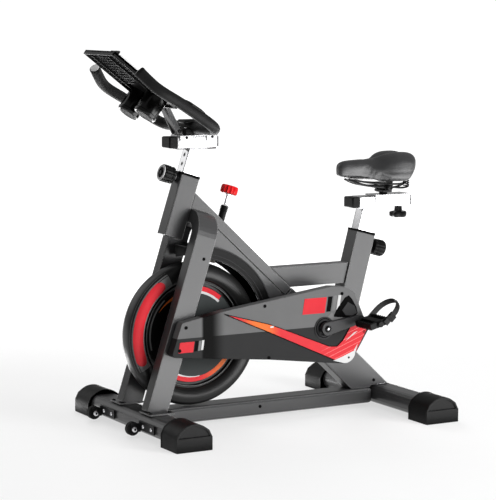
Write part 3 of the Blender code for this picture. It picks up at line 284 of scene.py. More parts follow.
def linked(name, data):
    """A new object in the scene."""
    obj = bpy.data.objects.new(name, data)
    bpy.context.scene.collection.objects.link(obj)
    return obj


def show(name, mesh, material, body, matrix=None, sharp=35.0):
    """Put a mesh in the scene as a piece that rides on a body."""
    obj = linked(name, mesh)
    if matrix is not None:
        obj.matrix_world = matrix
    mesh.materials.append(material)
    mesh.shade_smooth()
    mesh.set_sharp_from_angle(angle=math.radians(sharp))
    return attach(obj, body)


def round_edges(obj, width, segments):
    """Bevel the sharp edges of a piece."""
    bevel = obj.modifiers.new("rounding", "BEVEL")
    bevel.width = width
    bevel.segments = segments
    bevel.limit_method = "ANGLE"
    bevel.angle_limit = math.radians(40)
    return obj


def mesh_of(name, shape):
    """The mesh of a bmesh, with its faces turned out."""
    bmesh.ops.recalc_face_normals(shape, faces=shape.faces)
    mesh = bpy.data.meshes.new(name)
    shape.to_mesh(mesh)
    shape.free()
    return mesh


def add_slab(shape, outline, low, high):
    """Add a flat outline of (x, z) points that reaches from low to high along Y."""
    near = [shape.verts.new((x, low, z)) for x, z in outline]
    far = [shape.verts.new((x, high, z)) for x, z in outline]
    shape.faces.new(near)
    shape.faces.new(list(reversed(far)))
    count = len(outline)
    for index in range(count):
        after = (index + 1) % count
        shape.faces.new((near[after], near[index], far[index], far[after]))


def join(shape, rings, closed=True):
    """Add faces between each ring of points and the next; open rows have none from last point to first."""
    count = len(rings[0])
    for first, second in zip(rings, rings[1:]):
        for index in range(count if closed else count - 1):
            after = (index + 1) % count
            shape.faces.new((first[index], first[after], second[after], second[index]))


def loft(shape, rings):
    """Join rings of points and close both ends."""
    join(shape, rings)
    shape.faces.new(rings[0])
    shape.faces.new(list(reversed(rings[-1])))


def add_ring(shape, outer, inner, low, high):
    """Add a frame between two outlines with the same number of points, from low to high along Y."""
    rings = []
    for outline, y in ((outer, low), (outer, high), (inner, high), (inner, low)):
        rings.append([shape.verts.new((x, y, z)) for x, z in outline])
    join(shape, rings + rings[:1])


def arc(centre, radius, start, end, steps):
    """Points on a circular arc in a plane, angles in degrees."""
    points = []
    for step in range(steps + 1):
        angle = math.radians(start + (end - start) * step / steps)
        points.append((centre[0] + radius * math.cos(angle), centre[1] + radius * math.sin(angle)))
    return points


def rounded(width, height, radius, centre=(0.0, 0.0), steps=4):
    """A rounded rectangle outline."""
    side = width / 2 - radius
    tall = height / 2 - radius
    points = []
    for index, (x, z) in enumerate(((side, -tall), (side, tall), (-side, tall), (-side, -tall))):
        start = index * 90 - 90
        points += arc((centre[0] + x, centre[1] + z), radius, start, start + 90, steps)
    return points


def facing(origin, axis):
    """A matrix that carries local +Z onto an axis at an origin."""
    turn = Vector(axis).to_track_quat("Z", "Y").to_matrix().to_4x4()
    return Matrix.Translation(origin) @ turn


def leaned(origin, tilt):
    """A matrix that leans back by tilt at an origin."""
    return Matrix.Translation(origin) @ Matrix.Rotation(tilt, 4, "Y")


def shift(x, y, z):
    """A plain move."""
    return Matrix.Translation((x, y, z))


def placed(x, y, z):
    """A plain move to a point given from the middle of the base."""
    return Matrix.Translation(at(x, y, z))


def on_rack(up, out=0.0, y=0.0):
    """A matrix that lies along the rack's slope at a point on it."""
    return leaned(rack_point(up, out, y), RACK_TILT)


def add_turned(shape, profile, matrix, steps):
    """Add a profile of (radius, height) points spun about local Z. Points on the axis close it."""
    rings = []
    for radius, height in profile:
        if radius < 1e-6:
            rings.append([shape.verts.new(matrix @ Vector((0, 0, height)))])
            continue
        ring = []
        for step in range(steps):
            angle = 2 * math.pi * step / steps
            point = Vector((radius * math.cos(angle), radius * math.sin(angle), height))
            ring.append(shape.verts.new(matrix @ point))
        rings.append(ring)
    for first, second in zip(rings, rings[1:]):
        for step in range(steps):
            after = (step + 1) % steps
            if len(first) == 1 and len(second) > 1:
                shape.faces.new((first[0], second[step], second[after]))
            elif len(second) == 1 and len(first) > 1:
                shape.faces.new((first[step], first[after], second[0]))
            elif len(first) > 1:
                shape.faces.new((first[step], first[after], second[after], second[step]))


def turned(name, profile, matrix, material, body, steps=64, sharp=35.0):
    """One turned piece."""
    shape = bmesh.new()
    add_turned(shape, profile, matrix, steps)
    return show(name, mesh_of(name, shape), material, body, None, sharp)


def add_bolt(shape, centre, axis, radius, height):
    """Add a domed bolt head with a round drive recess, standing out along an axis."""
    matrix = facing(centre, axis)
    profile = [
        (0.0, 0.0),
        (radius, 0.0),
        (radius, 0.30 * height),
        (0.92 * radius, 0.62 * height),
        (0.72 * radius, 0.90 * height),
        (0.46 * radius, height),
        (0.40 * radius, 0.95 * height),
        (0.38 * radius, 0.45 * height),
        (0.0, 0.42 * height),
    ]
    add_turned(shape, profile, matrix, 20)


def bolts(name, places, radius, height, material, body):
    """Several bolt heads as one piece; places are (point, axis)."""
    shape = bmesh.new()
    for centre, axis in places:
        add_bolt(shape, centre, axis, radius, height)
    return show(name, mesh_of(name, shape), material, body)


def add_block(shape, size, matrix):
    """Add a box of a size, carried by a matrix."""
    made = bmesh.ops.create_cube(shape, size=1.0)
    bmesh.ops.scale(shape, vec=size, verts=made["verts"])
    bmesh.ops.transform(shape, matrix=matrix, verts=made["verts"])


def blocks(name, items, material, body, rounding=0.0, segments=2):
    """Several boxes as one piece; items are (size, matrix)."""
    shape = bmesh.new()
    for size, matrix in items:
        add_block(shape, size, matrix)
    obj = show(name, mesh_of(name, shape), material, body)
    if rounding:
        round_edges(obj, rounding, segments)
    return obj


def pipe(name, points, radius, material, body, resolution=8, smooth=True):
    """A bent round bar through points."""
    curve = bpy.data.curves.new(name, "CURVE")
    curve.dimensions = "3D"
    curve.bevel_depth = radius
    curve.bevel_resolution = resolution
    curve.use_fill_caps = True
    line = smooth_line(points) if smooth else points
    spline = curve.splines.new("POLY")
    spline.points.add(len(line) - 1)
    for point, where in zip(spline.points, line):
        point.co = (*where, 1)
    curve.materials.append(material)
    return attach(linked(name, curve), body)


def smooth_line(points, steps=6):
    """Catmull-Rom points through a list of points."""
    points = [Vector(point) for point in points]
    last = len(points) - 1
    line = []
    for i in range(last):
        before, start, end, after = (points[min(max(i + k, 0), last)] for k in (-1, 0, 1, 2))
        for step in range(steps):
            t = step / steps
            square = (2 * before - 5 * start + 4 * end - after) * t**2
            cube = (3 * start - before - 3 * end + after) * t**3
            line.append(0.5 * (2 * start + (end - before) * t + square + cube))
    line.append(points[-1])
    return line


def dress(material, *nodes):
    """Give CAD nodes a material."""
    for name in nodes:
        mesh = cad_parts[name].data
        mesh.materials.clear()
        mesh.materials.append(material)


# Base


ROLLERS = (("near", -0.083), ("far", 0.186))
ROLLER_X, ROLLER_Z = -0.4345, 0.026


def cap_section():
    """End view of a floor bar's cap as (x, z)."""
    side = 0.0575
    outline = [(side, 0.0), (side, 0.040), (side - 0.010, 0.060)]
    outline += arc((0, 0.020), 0.060, 55, 125, 16)
    return outline + [(0.010 - side, 0.060), (-side, 0.040), (-side, 0.0)]


def bar_caps():
    """Caps of the floor bars: a sunk arch over a raised toe block, and a skirt round the inner end."""
    arch = [point for point in cap_section() if point[1] > 0.035]
    sunk = [(x * 0.88, 0.045 + (z - 0.045) * 0.80) for x, z in arch]
    skirt = [(x * 1.015, z * 1.012) for x, z in cap_section()]
    toe = rounded(0.115, 0.041, 0.002, (0, 0.0205))
    for end, x, half in (("front", -0.366, 0.348), ("rear", 0.474, 0.360)):
        for side, sign in SIDES:
            inner, step, outer = sign * (half - 0.100), sign * (half - 0.0045), sign * half
            shape = bmesh.new()
            add_slab(shape, cap_section(), *sorted((inner, step)))
            add_ring(shape, arch, sunk, *sorted((step, outer)))
            add_slab(shape, toe, *sorted((step, outer + sign * 0.0012)))
            add_slab(shape, skirt, *sorted((inner, inner + sign * 0.006)))
            name = f"{end}_cap_{side}"
            cap = show(name + "_shell", mesh_of(name, shape), CAP, "base", placed(x, 0, 0))
            round_edges(cap, 0.0016, 2)
            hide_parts(name)


def roller_details():
    """Hub bolts, bracket bolts and tyres of the transport rollers."""
    hubs = []
    brackets = []
    for side, y in ROLLERS:
        ear = y - 0.013
        hubs.append((at(ROLLER_X, ear - 0.002, ROLLER_Z), NEAR))
        for inward in (0.082, 0.030):
            brackets.append((at(-0.4192, ear - inward, 0.037), (-1, 0, 0)))
    bolts("roller_bolts", hubs, 0.0085, 0.0062, ZINC, "base")
    bolts("bracket_bolts", brackets, 0.0055, 0.0035, ZINC, "base")
    tread = [(0.0060, -0.0104), (0.0165, -0.0104), (0.0203, -0.0072), (0.0203, -0.0025), (0.0190, -0.0012)]
    tread += [(radius, -height) for radius, height in reversed(tread)]
    for side, y in ROLLERS:
        matrix = facing(at(ROLLER_X, y, ROLLER_Z), NEAR)
        turned(f"roller_tyre_{side}", tread, matrix, RUBBER, f"roller_unit_{side}", 40)


def base_fasteners():
    """Foot plates under the fork, the plate on the rear floor bar, and bolts and screws round the base."""
    plates = [((0.080, 0.074, 0.005), placed(-0.362, sign * 0.101, 0.0690)) for sign in (-1, 1)]
    blocks("fork_foot_plates", plates, PAINT, "base", 0.0015)
    feet = [(at(x, sign * 0.125, 0.0715), UP) for sign in (-1, 1) for x in (-0.395, -0.332)]
    bolts("foot_plate_bolts", feet, 0.0065, 0.0040, DARK_STEEL, "base")
    screws = [
        (at(-0.207, -0.1052, 0.515), NEAR),
        (at(-0.207, 0.1052, 0.515), -NEAR),
        (at(0.437, -0.0302, 0.083), NEAR),
        (at(0.437, 0.0302, 0.083), -NEAR),
        (at(0.020, -0.0402, 0.040), NEAR),
    ]
    bolts("frame_screws", screws, 0.0050, 0.0022, BLACK_DECAL, "base")
    bolts("beam_bolt", [(at(-0.3171, 0, 0.0375), (-1, 0, 0))], 0.0095, 0.0060, ZINC, "base")
    plates = [((0.030, 0.066, 0.0040), placed(0.462, 0, 0.0690))]
    blocks("rear_joint_plates", plates, ZINC, "base", 0.001)


def sleeve_collars():
    """Plastic collars on the tops of the two post sleeves."""
    for name, top, tilt, depth, width in (
        ("head_collar", HEAD_TOP, HEAD_TILT, 0.062, 0.052),
        ("seat_collar", SEAT_TOP, SEAT_TILT, 0.068, 0.056),
    ):
        shape = bmesh.new()
        outer = rounded(depth + 0.003, width + 0.003, 0.005)
        inner = rounded(0.0550, 0.0410, 0.002)
        add_ring(shape, outer, inner, -0.0035, 0.0035)
        turn = Matrix.Rotation(math.pi / 2, 4, "X")
        matrix = leaned(leaning(top, tilt, 0.001), tilt) @ turn
        round_edges(show(name, mesh_of(name, shape), BLACK_DECAL, "base", matrix), 0.001, 2)


# Flywheel

WHEEL_SIDE = [
    (0.0088, 0.0500),
    (0.0220, 0.0500),
    (0.0235, 0.0485),
    (0.0260, 0.0250),
    (0.0300, 0.0228),
    (0.1300, 0.0182),
    (0.1460, 0.0176),
    (0.1480, 0.0140),
    (0.1545, 0.0140),
    (0.1555, 0.0235),
    (0.1600, 0.0245),
    (0.1612, 0.0205),
    (0.1628, 0.0205),
    (0.1645, 0.0270),
    (0.1690, 0.0320),
    (0.1760, 0.0356),
    (0.1850, 0.0370),
    (0.1950, 0.0366),
    (0.2040, 0.0340),
    (0.2110, 0.0285),
    (0.2150, 0.0200),
    (0.2165, 0.0100),
]


def side_height(radius):
    """How far the flywheel's side stands out at a radius."""
    for (low, first), (high, second) in zip(WHEEL_SIDE, WHEEL_SIDE[1:]):
        if low <= radius <= high:
            return first + (second - first) * (radius - low) / (high - low)
    return WHEEL_SIDE[-1][1]


def wheel_patch(name, low, high, start, end, material, sign=-1, lift=0.0006, round_ends=False, tip=1.0):
    """A thin painted band on the flywheel's side between two radii and two angles.

    Its width shrinks along it to the fraction tip, and its outer edge keeps its radius.
    """
    shape = bmesh.new()
    across = 8
    along = max(6, int(abs(end - start) / 2))
    middle = (low + high) / 2
    half = (high - low) / 2
    rows = []
    for i in range(across + 1):
        flat = low + (high - low) * i / across
        stretch = 0.0
        if round_ends:
            stretch = math.degrees(math.sqrt(max(0.0, half**2 - (flat - middle) ** 2)) / flat)
        row = []
        for j in range(along + 1):
            radius = high - (high - flat) * (1 - (1 - tip) * j / along)
            angle = math.radians(start - stretch + (end - start + 2 * stretch) * j / along)
            stand = sign * (side_height(radius) + lift)
            out = Vector((radius * math.cos(angle), stand, radius * math.sin(angle)))
            row.append(shape.verts.new(WHEEL + out))
        rows.append(row)
    for first, second in zip(rows, rows[1:]):
        for j in range(along):
            corners = (first[j], first[j + 1], second[j + 1], second[j])
            shape.faces.new(corners if sign > 0 else tuple(reversed(corners)))
    mesh = bpy.data.meshes.new(name)
    shape.to_mesh(mesh)
    shape.free()
    return show(name, mesh, material, "flywheel_unit", None, 60)


def flywheel_details():
    """A round-rimmed wheel with grey discs and painted bands on both sides, among them painted shade, painted
    highlight lines and a painted orange reflection, and the far axle nut.
    """
    profile = WHEEL_SIDE + [(radius, -height) for radius, height in reversed(WHEEL_SIDE)]
    wheel = turned("flywheel_rim", profile, facing(WHEEL, NEAR), IRON, "flywheel_unit", 128, 28)
    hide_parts("flywheel")
    for side, sign in SIDES:
        wheel_patch(f"wheel_disc_{side}", 0.031, 0.1455, 0, 360, DISC, sign, 0.0003)
        # A thin grey line on the rim's real ridge: a painted highlight along it.
        wheel_patch(f"wheel_painted_highlight_line_{side}", 0.1564, 0.1578, 0, 360, GREY_DECAL, sign, 0.0003)
        wheel_patch(f"wheel_label_ground_{side}", 0.1685, 0.2130, 116, 209, GREY_DECAL, sign, 0.0004)
        wheel_patch(f"wheel_label_{side}", 0.1730, 0.2060, 128, 200, RED_DECAL, sign, 0.0010, True)
        # Black over the front sector of the grey disc: painted shade on the sunk inner face.
        wheel_patch(f"wheel_painted_shade_disc_{side}", 0.060, 0.1450, 112, 214, BLACK_DECAL, sign, 0.0006)
        # A grey arc along the black sector's outer edge: a painted highlight.
        wheel_patch(f"wheel_painted_highlight_arc_{side}", 0.1405, 0.1450, 131, 196, GREY_DECAL, sign, 0.0010)
        # A tapering orange wedge: a painted orange reflection.
        wheel_patch(f"wheel_painted_orange_reflection_{side}", 0.1250, 0.1340, 118, 147, ORANGE_REFLECTION, sign, 0.0010, tip=0.05)
        wheel_patch(f"wheel_sweep_low_{side}", 0.1315, 0.1455, 240, 323, SWEEP, sign, 0.0007)
        wheel_patch(f"wheel_white_low_{side}", 0.1262, 0.1316, 244, 280, WHITE_DECAL, sign, tip=0.3)
        wheel_patch(f"wheel_sweep_high_{side}", 0.1310, 0.1450, 48, 92, RED_DECAL, sign, 0.0007)
        wheel_patch(f"wheel_white_high_{side}", 0.1240, 0.1312, 46, 92, WHITE_DECAL, sign, 0.0006)
    axle_nuts = [(WHEEL + Vector((0, 0.0785, 0)), (0, 1, 0))]
    bolts("axle_nut_far", axle_nuts, 0.013, 0.009, ZINC, "flywheel_unit")
    far_hub = [(0.0090, -0.0650), (0.020, -0.0650), (0.022, -0.0625), (0.022, -0.0580)]
    turned("axle_washer_far", far_hub, facing(WHEEL, NEAR), DARK_STEEL, "base", 40)


def fender_details():
    """Raised line rings and edge beads on the wheel's fender."""
    centre = (WHEEL.x, WHEEL.z)
    shape = bmesh.new()
    for low, high, stand in ((0.2320, 0.2342, 0.0463), (0.2440, 0.2452, 0.0458), (0.2655, 0.2690, 0.0466)):
        for sign in (-1, 1):
            outline = arc(centre, high, 14.5, 95.5, 48) + arc(centre, low, 95.5, 14.5, 48)
            near, far = sorted((sign * 0.0445, sign * stand))
            add_slab(shape, outline, near, far)
    show("fender_lines", mesh_of("fender_lines", shape), GREY_PLASTIC, "base")


# Drive cover


def from_base(outline):
    """An outline whose points are given from the middle of the base."""
    return [(x + BASE_X, z) for x, z in outline]


def decal(name, outline, material, stand=0.0008):
    """A thin plate on the drive cover's face."""
    shape = bmesh.new()
    add_slab(shape, from_base(outline), COVER_FACE - stand, COVER_FACE + 0.0004)
    show(name, mesh_of(name, shape), material, "base")


def slanted(left, right, low, high, lean):
    """A four-cornered outline whose ends lean."""
    push = (high - low) * lean
    return [(left, low), (right, low), (right + push, high), (left + push, high)]


def cover_details():
    """Screws, plain colour blocks and stripes, the recess by the crank in painted shade, and the pale corner
    and flash.
    """
    spots = [(-0.285, 0.321), (-0.306, 0.254), (0.250, 0.385)]
    spots += [(0.329, 0.262), (-0.020, 0.366), (-0.006, 0.208)]
    screws = [(at(x, COVER_FACE - 0.0004, z), NEAR) for x, z in spots]
    bolts("cover_screws", screws, 0.0052, 0.0022, BLACK_DECAL, "base")

    for name, left, right, low, high, lean, material in (
        ("block_front", -0.310, -0.262, 0.247, 0.278, 0.15, RED_DECAL),
        ("stripe_front_black", -0.258, -0.248, 0.249, 0.279, 0.15, BLACK_DECAL),
        ("stripe_front_grey", -0.246, -0.238, 0.250, 0.279, 0.15, GREY_DECAL),
        ("stripe_front_white", -0.236, -0.229, 0.251, 0.280, 0.15, WHITE_DECAL),
        ("block_rear", 0.110, 0.188, 0.330, 0.378, 0.16, RED_DECAL),
        ("stripe_rear_black", 0.194, 0.209, 0.333, 0.379, 0.16, BLACK_DECAL),
        ("stripe_rear_grey", 0.213, 0.226, 0.335, 0.380, 0.16, GREY_DECAL),
        ("stripe_rear_white", 0.230, 0.240, 0.337, 0.381, 0.16, WHITE_DECAL),
    ):
        decal("cover_" + name, slanted(left, right, low, high, lean), material)

    # The recess by the crank is a flat black plate: painted shade for its sunk inside, with a grey block and
    # foot in it.
    recess = [(0.219, 0.316), (0.232, 0.339), (0.262, 0.373), (0.274, 0.378), (0.286, 0.366), (0.302, 0.340)]
    recess += [(0.306, 0.322), (0.300, 0.314), (0.262, 0.310)]
    decal("cover_recess", list(reversed(recess)), BLACK_DECAL)
    block = [(0.250, 0.334), (0.270, 0.358), (0.293, 0.345), (0.303, 0.322), (0.286, 0.315), (0.262, 0.318)]
    decal("cover_recess_block", list(reversed(block)), GREY_PLASTIC, 0.0030)
    foot = [(0.200, 0.318), (0.213, 0.330), (0.221, 0.322), (0.219, 0.308), (0.207, 0.305)]
    decal("cover_recess_foot", list(reversed(foot)), GREY_DECAL, 0.0012)

    corner = [(0.219, 0.1805), (0.250, 0.190), (0.292, 0.205), (0.3055, 0.226)]
    corner += arc((0.262, 0.206), 0.0365, -20, -96, 10)
    decal("cover_corner", list(reversed(corner)), WHITE_DECAL, 0.0028)
    flash = [(0.262, 0.238), (0.292, 0.262), (0.306, 0.266), (0.276, 0.246)]
    decal("cover_flash", flash, WHITE_DECAL, 0.0028)
    decal("cover_spot", slanted(-0.003, 0.008, 0.2990, 0.3045, 0.3), WHITE_DECAL, 0.0028)
    corner_screw = [(at(0.274, COVER_FACE - 0.0026, 0.186), NEAR)]
    bolts("corner_screw", corner_screw, 0.0035, 0.0016, BLACK_DECAL, "base")
    hub_rings()
    swoosh_border()


def hub_rings():
    """Two raised rings round the crank with painted shade in the gap between them."""
    matrix = facing(CRANK, NEAR)
    face = -COVER_FACE
    shape = bmesh.new()
    for inner, outer, stand in ((0.0225, 0.0275, 0.0040), (0.0300, 0.0345, 0.0022)):
        profile = [
            (inner, face - 0.001),
            (inner, face + stand),
            (inner + 0.001, face + stand + 0.0006),
            (outer - 0.001, face + stand + 0.0006),
            (outer, face + stand),
            (outer, face - 0.001),
        ]
        add_turned(shape, profile, matrix, 64)
    show("crank_rings", mesh_of("crank_rings", shape), GREY_PLASTIC, "base")
    # A black ring between the raised rings: painted shade in the gap.
    low, high = face + 0.0003, face + 0.0009
    shadow = [(0.0276, low), (0.0276, high), (0.0299, high), (0.0299, low)]
    turned("crank_ring_gap_painted_shade", shadow, matrix, BLACK_DECAL, "base", 64)


def swoosh_border():
    """Thin black line round the swoosh."""
    front = (-0.158, 0.352)
    upper = [(-0.002, 0.309), (0.205, 0.226), (0.232, 0.224), (0.252, 0.240), (0.290, 0.296)]
    lower = [(-0.002, 0.284), (0.224, 0.182)]
    for label, line in (("upper", upper), ("lower", lower)):
        points = [at(x, COVER_FACE - 0.0022, z) for x, z in [front] + line]
        pipe(f"swoosh_line_{label}", points, 0.0011, BLACK_DECAL, "base", 2, False)


# Cranks and pedals


def crank_details():
    """Crank bolts and the pedals."""
    for side, sign in SIDES:
        place = (CRANK + Vector((0, sign * 0.1642, 0)), (0, sign, 0))
        bolts(f"crank_bolt_{side}", [place], 0.0105, 0.005, PLASTIC, "crank_unit")
        pedal_details(side, sign)


def pedal_details(side, sign):
    """A ribbed, toothed pedal body with a pale plate under it, an end cap and the strap over it."""
    angle = math.radians(10) if sign < 0 else math.radians(190)
    eye = CRANK + Vector((CRANK_LENGTH * math.cos(angle), sign * 0.226, CRANK_LENGTH * math.sin(angle)))
    seat = Matrix.Translation(eye) @ Matrix.Rotation(math.radians(-15), 4, "Y")
    body = f"pedal_unit_{side}"
    cage = (-0.030, 0.030)
    items = [((0.022, 0.086, 0.021), shift(0, 0, 0))]
    for x in cage:
        items.append(((0.0085, 0.084, 0.0175), shift(x, 0, 0)))
    for y in (-0.0395, 0.0395):
        items.append(((0.068, 0.0085, 0.0195), shift(0, y, 0)))
    for index in range(5):
        items.append(((0.060, 0.0030, 0.0120), shift(0, -0.026 + 0.013 * index, 0)))
    items = [(size, seat @ matrix) for size, matrix in items]
    shell = blocks(f"pedal_shell_{side}", items, PLASTIC, body, 0.0016)
    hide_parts(f"pedal_{side}")
    teeth = []
    for x in cage:
        for index in range(7):
            for z in (0.0095, -0.0095):
                teeth.append(((0.0085, 0.0045, 0.0022), seat @ shift(x, -0.033 + 0.011 * index, z)))
    blocks(f"pedal_teeth_{side}", teeth, PLASTIC, body, 0.0006)
    plates = [((0.050, 0.070, 0.0016), seat @ shift(0, 0, -0.0118))]
    blocks(f"pedal_plate_{side}", plates, LIGHT_CAP, body, 0.0005)
    cap = [(0.0, 0.0), (0.0085, 0.0), (0.0095, 0.0020), (0.0095, 0.0065), (0.0080, 0.0085), (0.0, 0.0085)]
    end = facing(eye + Vector((0, sign * 0.0435, 0)), (0, sign, 0))
    turned(f"pedal_end_{side}", cap, end, PLASTIC, body, 32)
    strap(side, seat, body, sign)


def strap(side, seat, body, sign):
    """A strap that arches over the rear of the pedal, with ridges along it and a buckle."""
    half = 0.048
    lean = seat @ shift(0.023, 0, 0) @ Matrix.Rotation(math.radians(62), 4, "Y")
    line = [(-half, -0.008), (-half, 0.030)] + list(reversed(arc((0, 0.030), half, 8, 172, 22)))
    line += [(half, 0.030), (half, -0.008)]
    section = ((-0.0088, -0.0010), (0.0088, -0.0010), (0.0088, 0.0018), (0.0, 0.0023), (-0.0088, 0.0018))
    shape = bmesh.new()
    rows = []
    for index, (y, z) in enumerate(line):
        before = Vector(line[max(index - 1, 0)])
        after = Vector(line[min(index + 1, len(line) - 1)])
        along = (after - before).normalized()
        normal = Vector((-along.y, along.x))
        row = []
        for across, out in section:
            row.append(shape.verts.new(lean @ Vector((across, y + normal.x * out, z + normal.y * out))))
        rows.append(row)
    loft(shape, rows)
    band = show(f"strap_{side}", mesh_of("strap", shape), RUBBER, body)
    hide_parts(f"toe_strap_{side}")
    knobs = []
    for index in range(9):
        angle = math.radians(30 + 15 * index)
        y = (half + 0.0022) * math.cos(angle)
        z = 0.030 + (half + 0.0022) * math.sin(angle)
        turn = Matrix.Rotation(angle - math.pi / 2, 4, "X")
        knobs.append(((0.008, 0.0040, 0.0030), lean @ shift(0, y, z) @ turn))
    blocks(f"strap_ridges_{side}", knobs, RUBBER, body, 0.0006)
    outer = sign * half
    buckle = [
        ((0.026, 0.0050, 0.022), lean @ shift(0, outer + sign * 0.0020, 0.020)),
        ((0.022, 0.0035, 0.010), lean @ shift(0, outer + sign * 0.0050, 0.020)),
    ]
    blocks(f"strap_buckle_{side}", buckle, PLASTIC, body, 0.0010)


# Brake control and pins


def ribbed_outline(radius, ribs, depth, per_rib=6):
    """A round outline with even ribs."""
    points = []
    count = ribs * per_rib
    for index in range(count):
        angle = 2 * math.pi * index / count
        reach = radius - depth * (0.5 - 0.5 * math.cos(ribs * angle)) ** 0.6
        points.append((reach * math.cos(angle), reach * math.sin(angle)))
    return points


def add_knob(shape, outline, levels, matrix):
    """Add a knob as rings of one outline, each scaled and set at a height, closed at both ends."""
    rings = []
    for scale, height in levels:
        rings.append([shape.verts.new(matrix @ Vector((x * scale, y * scale, height))) for x, y in outline])
    join(shape, rings)
    shape.faces.new(list(reversed(rings[0])))
    shape.faces.new(rings[-1])


def brake_details():
    """The red knob, the rod's thread, and the rings and painted highlight stripes on its sleeve."""
    matrix = leaned(leaning(BRAKE_TOP, HEAD_TILT, 0.0363), HEAD_TILT)
    shape = bmesh.new()
    levels = [(0.80, 0.0), (0.95, 0.0022), (1.0, 0.0060), (1.0, 0.0200), (0.95, 0.0245), (0.84, 0.0265)]
    levels += [(0.60, 0.0270), (0.56, 0.0252)]
    add_knob(shape, ribbed_outline(0.0262, 14, 0.0026), levels, matrix)
    knob = show("tension_grip", mesh_of("tension_grip", shape), RED_PLASTIC, "tension_knob_unit", None, 50)
    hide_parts("tension_knob")
    collar = [(0.0053, -0.0030), (0.0085, -0.0030), (0.0092, -0.0020), (0.0092, 0.0004), (0.0053, 0.0004)]
    turned("tension_collar", collar, matrix, ZINC, "brake_unit", 24)

    shape = bmesh.new()
    pitch = 0.0016
    profile = []
    for index in range(18):
        low = 0.002 + pitch * index
        profile += [(0.0050, low), (0.0053, low + pitch / 2)]
    profile.append((0.0050, 0.002 + pitch * 18))
    add_turned(shape, profile, leaned(BRAKE_TOP, HEAD_TILT), 24)
    show("rod_thread", mesh_of("rod_thread", shape), ZINC, "brake_unit")

    sleeve = leaned(BRAKE_TOP, HEAD_TILT)
    shape = bmesh.new()
    for height in (-0.002, -0.0065, -0.011, -0.0155):
        ring = [(0.0108, height - 0.0015), (0.0124, height - 0.0010), (0.0124, height + 0.0010)]
        ring += [(0.0108, height + 0.0015)]
        add_turned(shape, ring, sleeve, 32)
    show("sleeve_rings", mesh_of("sleeve_rings", shape), PLASTIC, "base")
    # Two pale stripes down the black sleeve, turned towards the light: painted highlights.
    stripes = []
    turn = Matrix.Rotation(math.radians(-62), 4, "Z")
    for height, length in ((-0.040, 0.040), (-0.075, 0.010)):
        stripes.append(((0.0012, 0.0050, length), sleeve @ turn @ shift(0.0098, 0, height)))
    blocks("sleeve_painted_highlights", stripes, LIGHT_CAP, "base", 0.0004)
    insert = [(0.0060, -0.004), (0.0060, 0.0022), (0.0088, 0.0022), (0.0095, 0.0012), (0.0095, -0.004)]
    turned("sleeve_insert", insert, sleeve, LIGHT_CAP, "base", 32)


def pin_details():
    """Ribbed pull knobs on the two locking pins, with an end ring and a hollow middle in painted shade."""
    for name, top, tilt, up, side, depth, body in (
        ("head_pull", HEAD_TOP, HEAD_TILT, -0.014, -1, 0.062, "head_pin"),
        ("seat_pull", SEAT_TOP, SEAT_TILT, -0.036, 1, 0.068, "seat_pin"),
    ):
        origin = leaning(top, tilt, up, side * depth / 2)
        axis = leaning(Vector(), tilt, 0, side)
        matrix = facing(origin, axis)
        shape = bmesh.new()
        levels = [(0.72, 0.0140), (0.90, 0.0150), (0.98, 0.0175), (0.98, 0.0230), (0.93, 0.0250)]
        levels += [(0.93, 0.0275), (1.0, 0.0300), (1.0, 0.0500), (0.96, 0.0530), (0.84, 0.0540)]
        add_knob(shape, ribbed_outline(0.0262, 18, 0.0018), levels, matrix)
        grip = show(name + "_grip", mesh_of(name, shape), PLASTIC, body, None, 50)
        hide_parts(name + "_knob")
        ring = [(0.0165, 0.0530), (0.0165, 0.0552), (0.0178, 0.0560), (0.0222, 0.0560), (0.0235, 0.0548)]
        ring += [(0.0235, 0.0530)]
        turned(name + "_ring", ring, matrix, LIGHT_CAP if side < 0 else PLASTIC, body, 48)
        # The hollow middle is a flat black disc: painted shade inside the knob's end.
        hollow = [(0.0, 0.0548), (0.0160, 0.0548), (0.0166, 0.0552)]
        turned(name + "_hollow", hollow, matrix, BLACK_DECAL, body, 48)
        cap = [(0.0, 0.0575), (0.0050, 0.0575), (0.0060, 0.0565), (0.0060, 0.0545)]
        turned(name + "_pin_end", cap, matrix, DARK_STEEL, body, 24)
        flange = [(0.0118, -0.0005), (0.0170, -0.0005), (0.0170, 0.0035), (0.0150, 0.0050), (0.0125, 0.0052)]
        turned(name + "_boss", flange, matrix, DARK_STEEL, "base", 40)


# Posts, rails and carriages


def rail_details():
    """Square plugs on the rails' front ends, thin caps on the rear ends, carriage bolts and clamp plates."""
    for name, front, back, low, high, body in (
        ("head_rail", -0.252, -0.118, 0.838, 0.873, "handlebar_mast"),
        ("seat_rail", 0.384, 0.572, 0.630, 0.665, "seat_mast"),
    ):
        middle = (low + high) / 2
        tall = high - low
        plug = [
            ((0.024, 0.0530, tall - 0.001), placed(front - 0.0125, 0, middle)),
            ((0.004, 0.0500, tall - 0.004), placed(front - 0.0255, 0, middle)),
        ]
        blocks(name + "_plug", plug, PLASTIC, body, 0.0022, 3)
        cap = [((0.0035, 0.0500, tall - 0.004), placed(back + 0.0018, 0, middle))]
        blocks(name + "_end_cap", cap, GREY_PLASTIC, body, 0.0010)
    places = []
    for x in (-0.224, -0.138):
        places.append((at(x, -0.0311, 0.8695), NEAR))
        places.append((at(x, 0.0311, 0.8695), -NEAR))
    bolts("head_carriage_bolts", places, 0.0042, 0.0025, DARK_STEEL, "handlebar_unit")
    under = [
        ((0.034, 0.030, 0.0035), placed(-0.2300, 0, 0.8360)),
        ((0.026, 0.030, 0.0050), placed(-0.1300, 0, 0.8352)),
    ]
    blocks("head_rail_clamp_plates", under, DARK_STEEL, "handlebar_mast", 0.0008)


# Handlebar


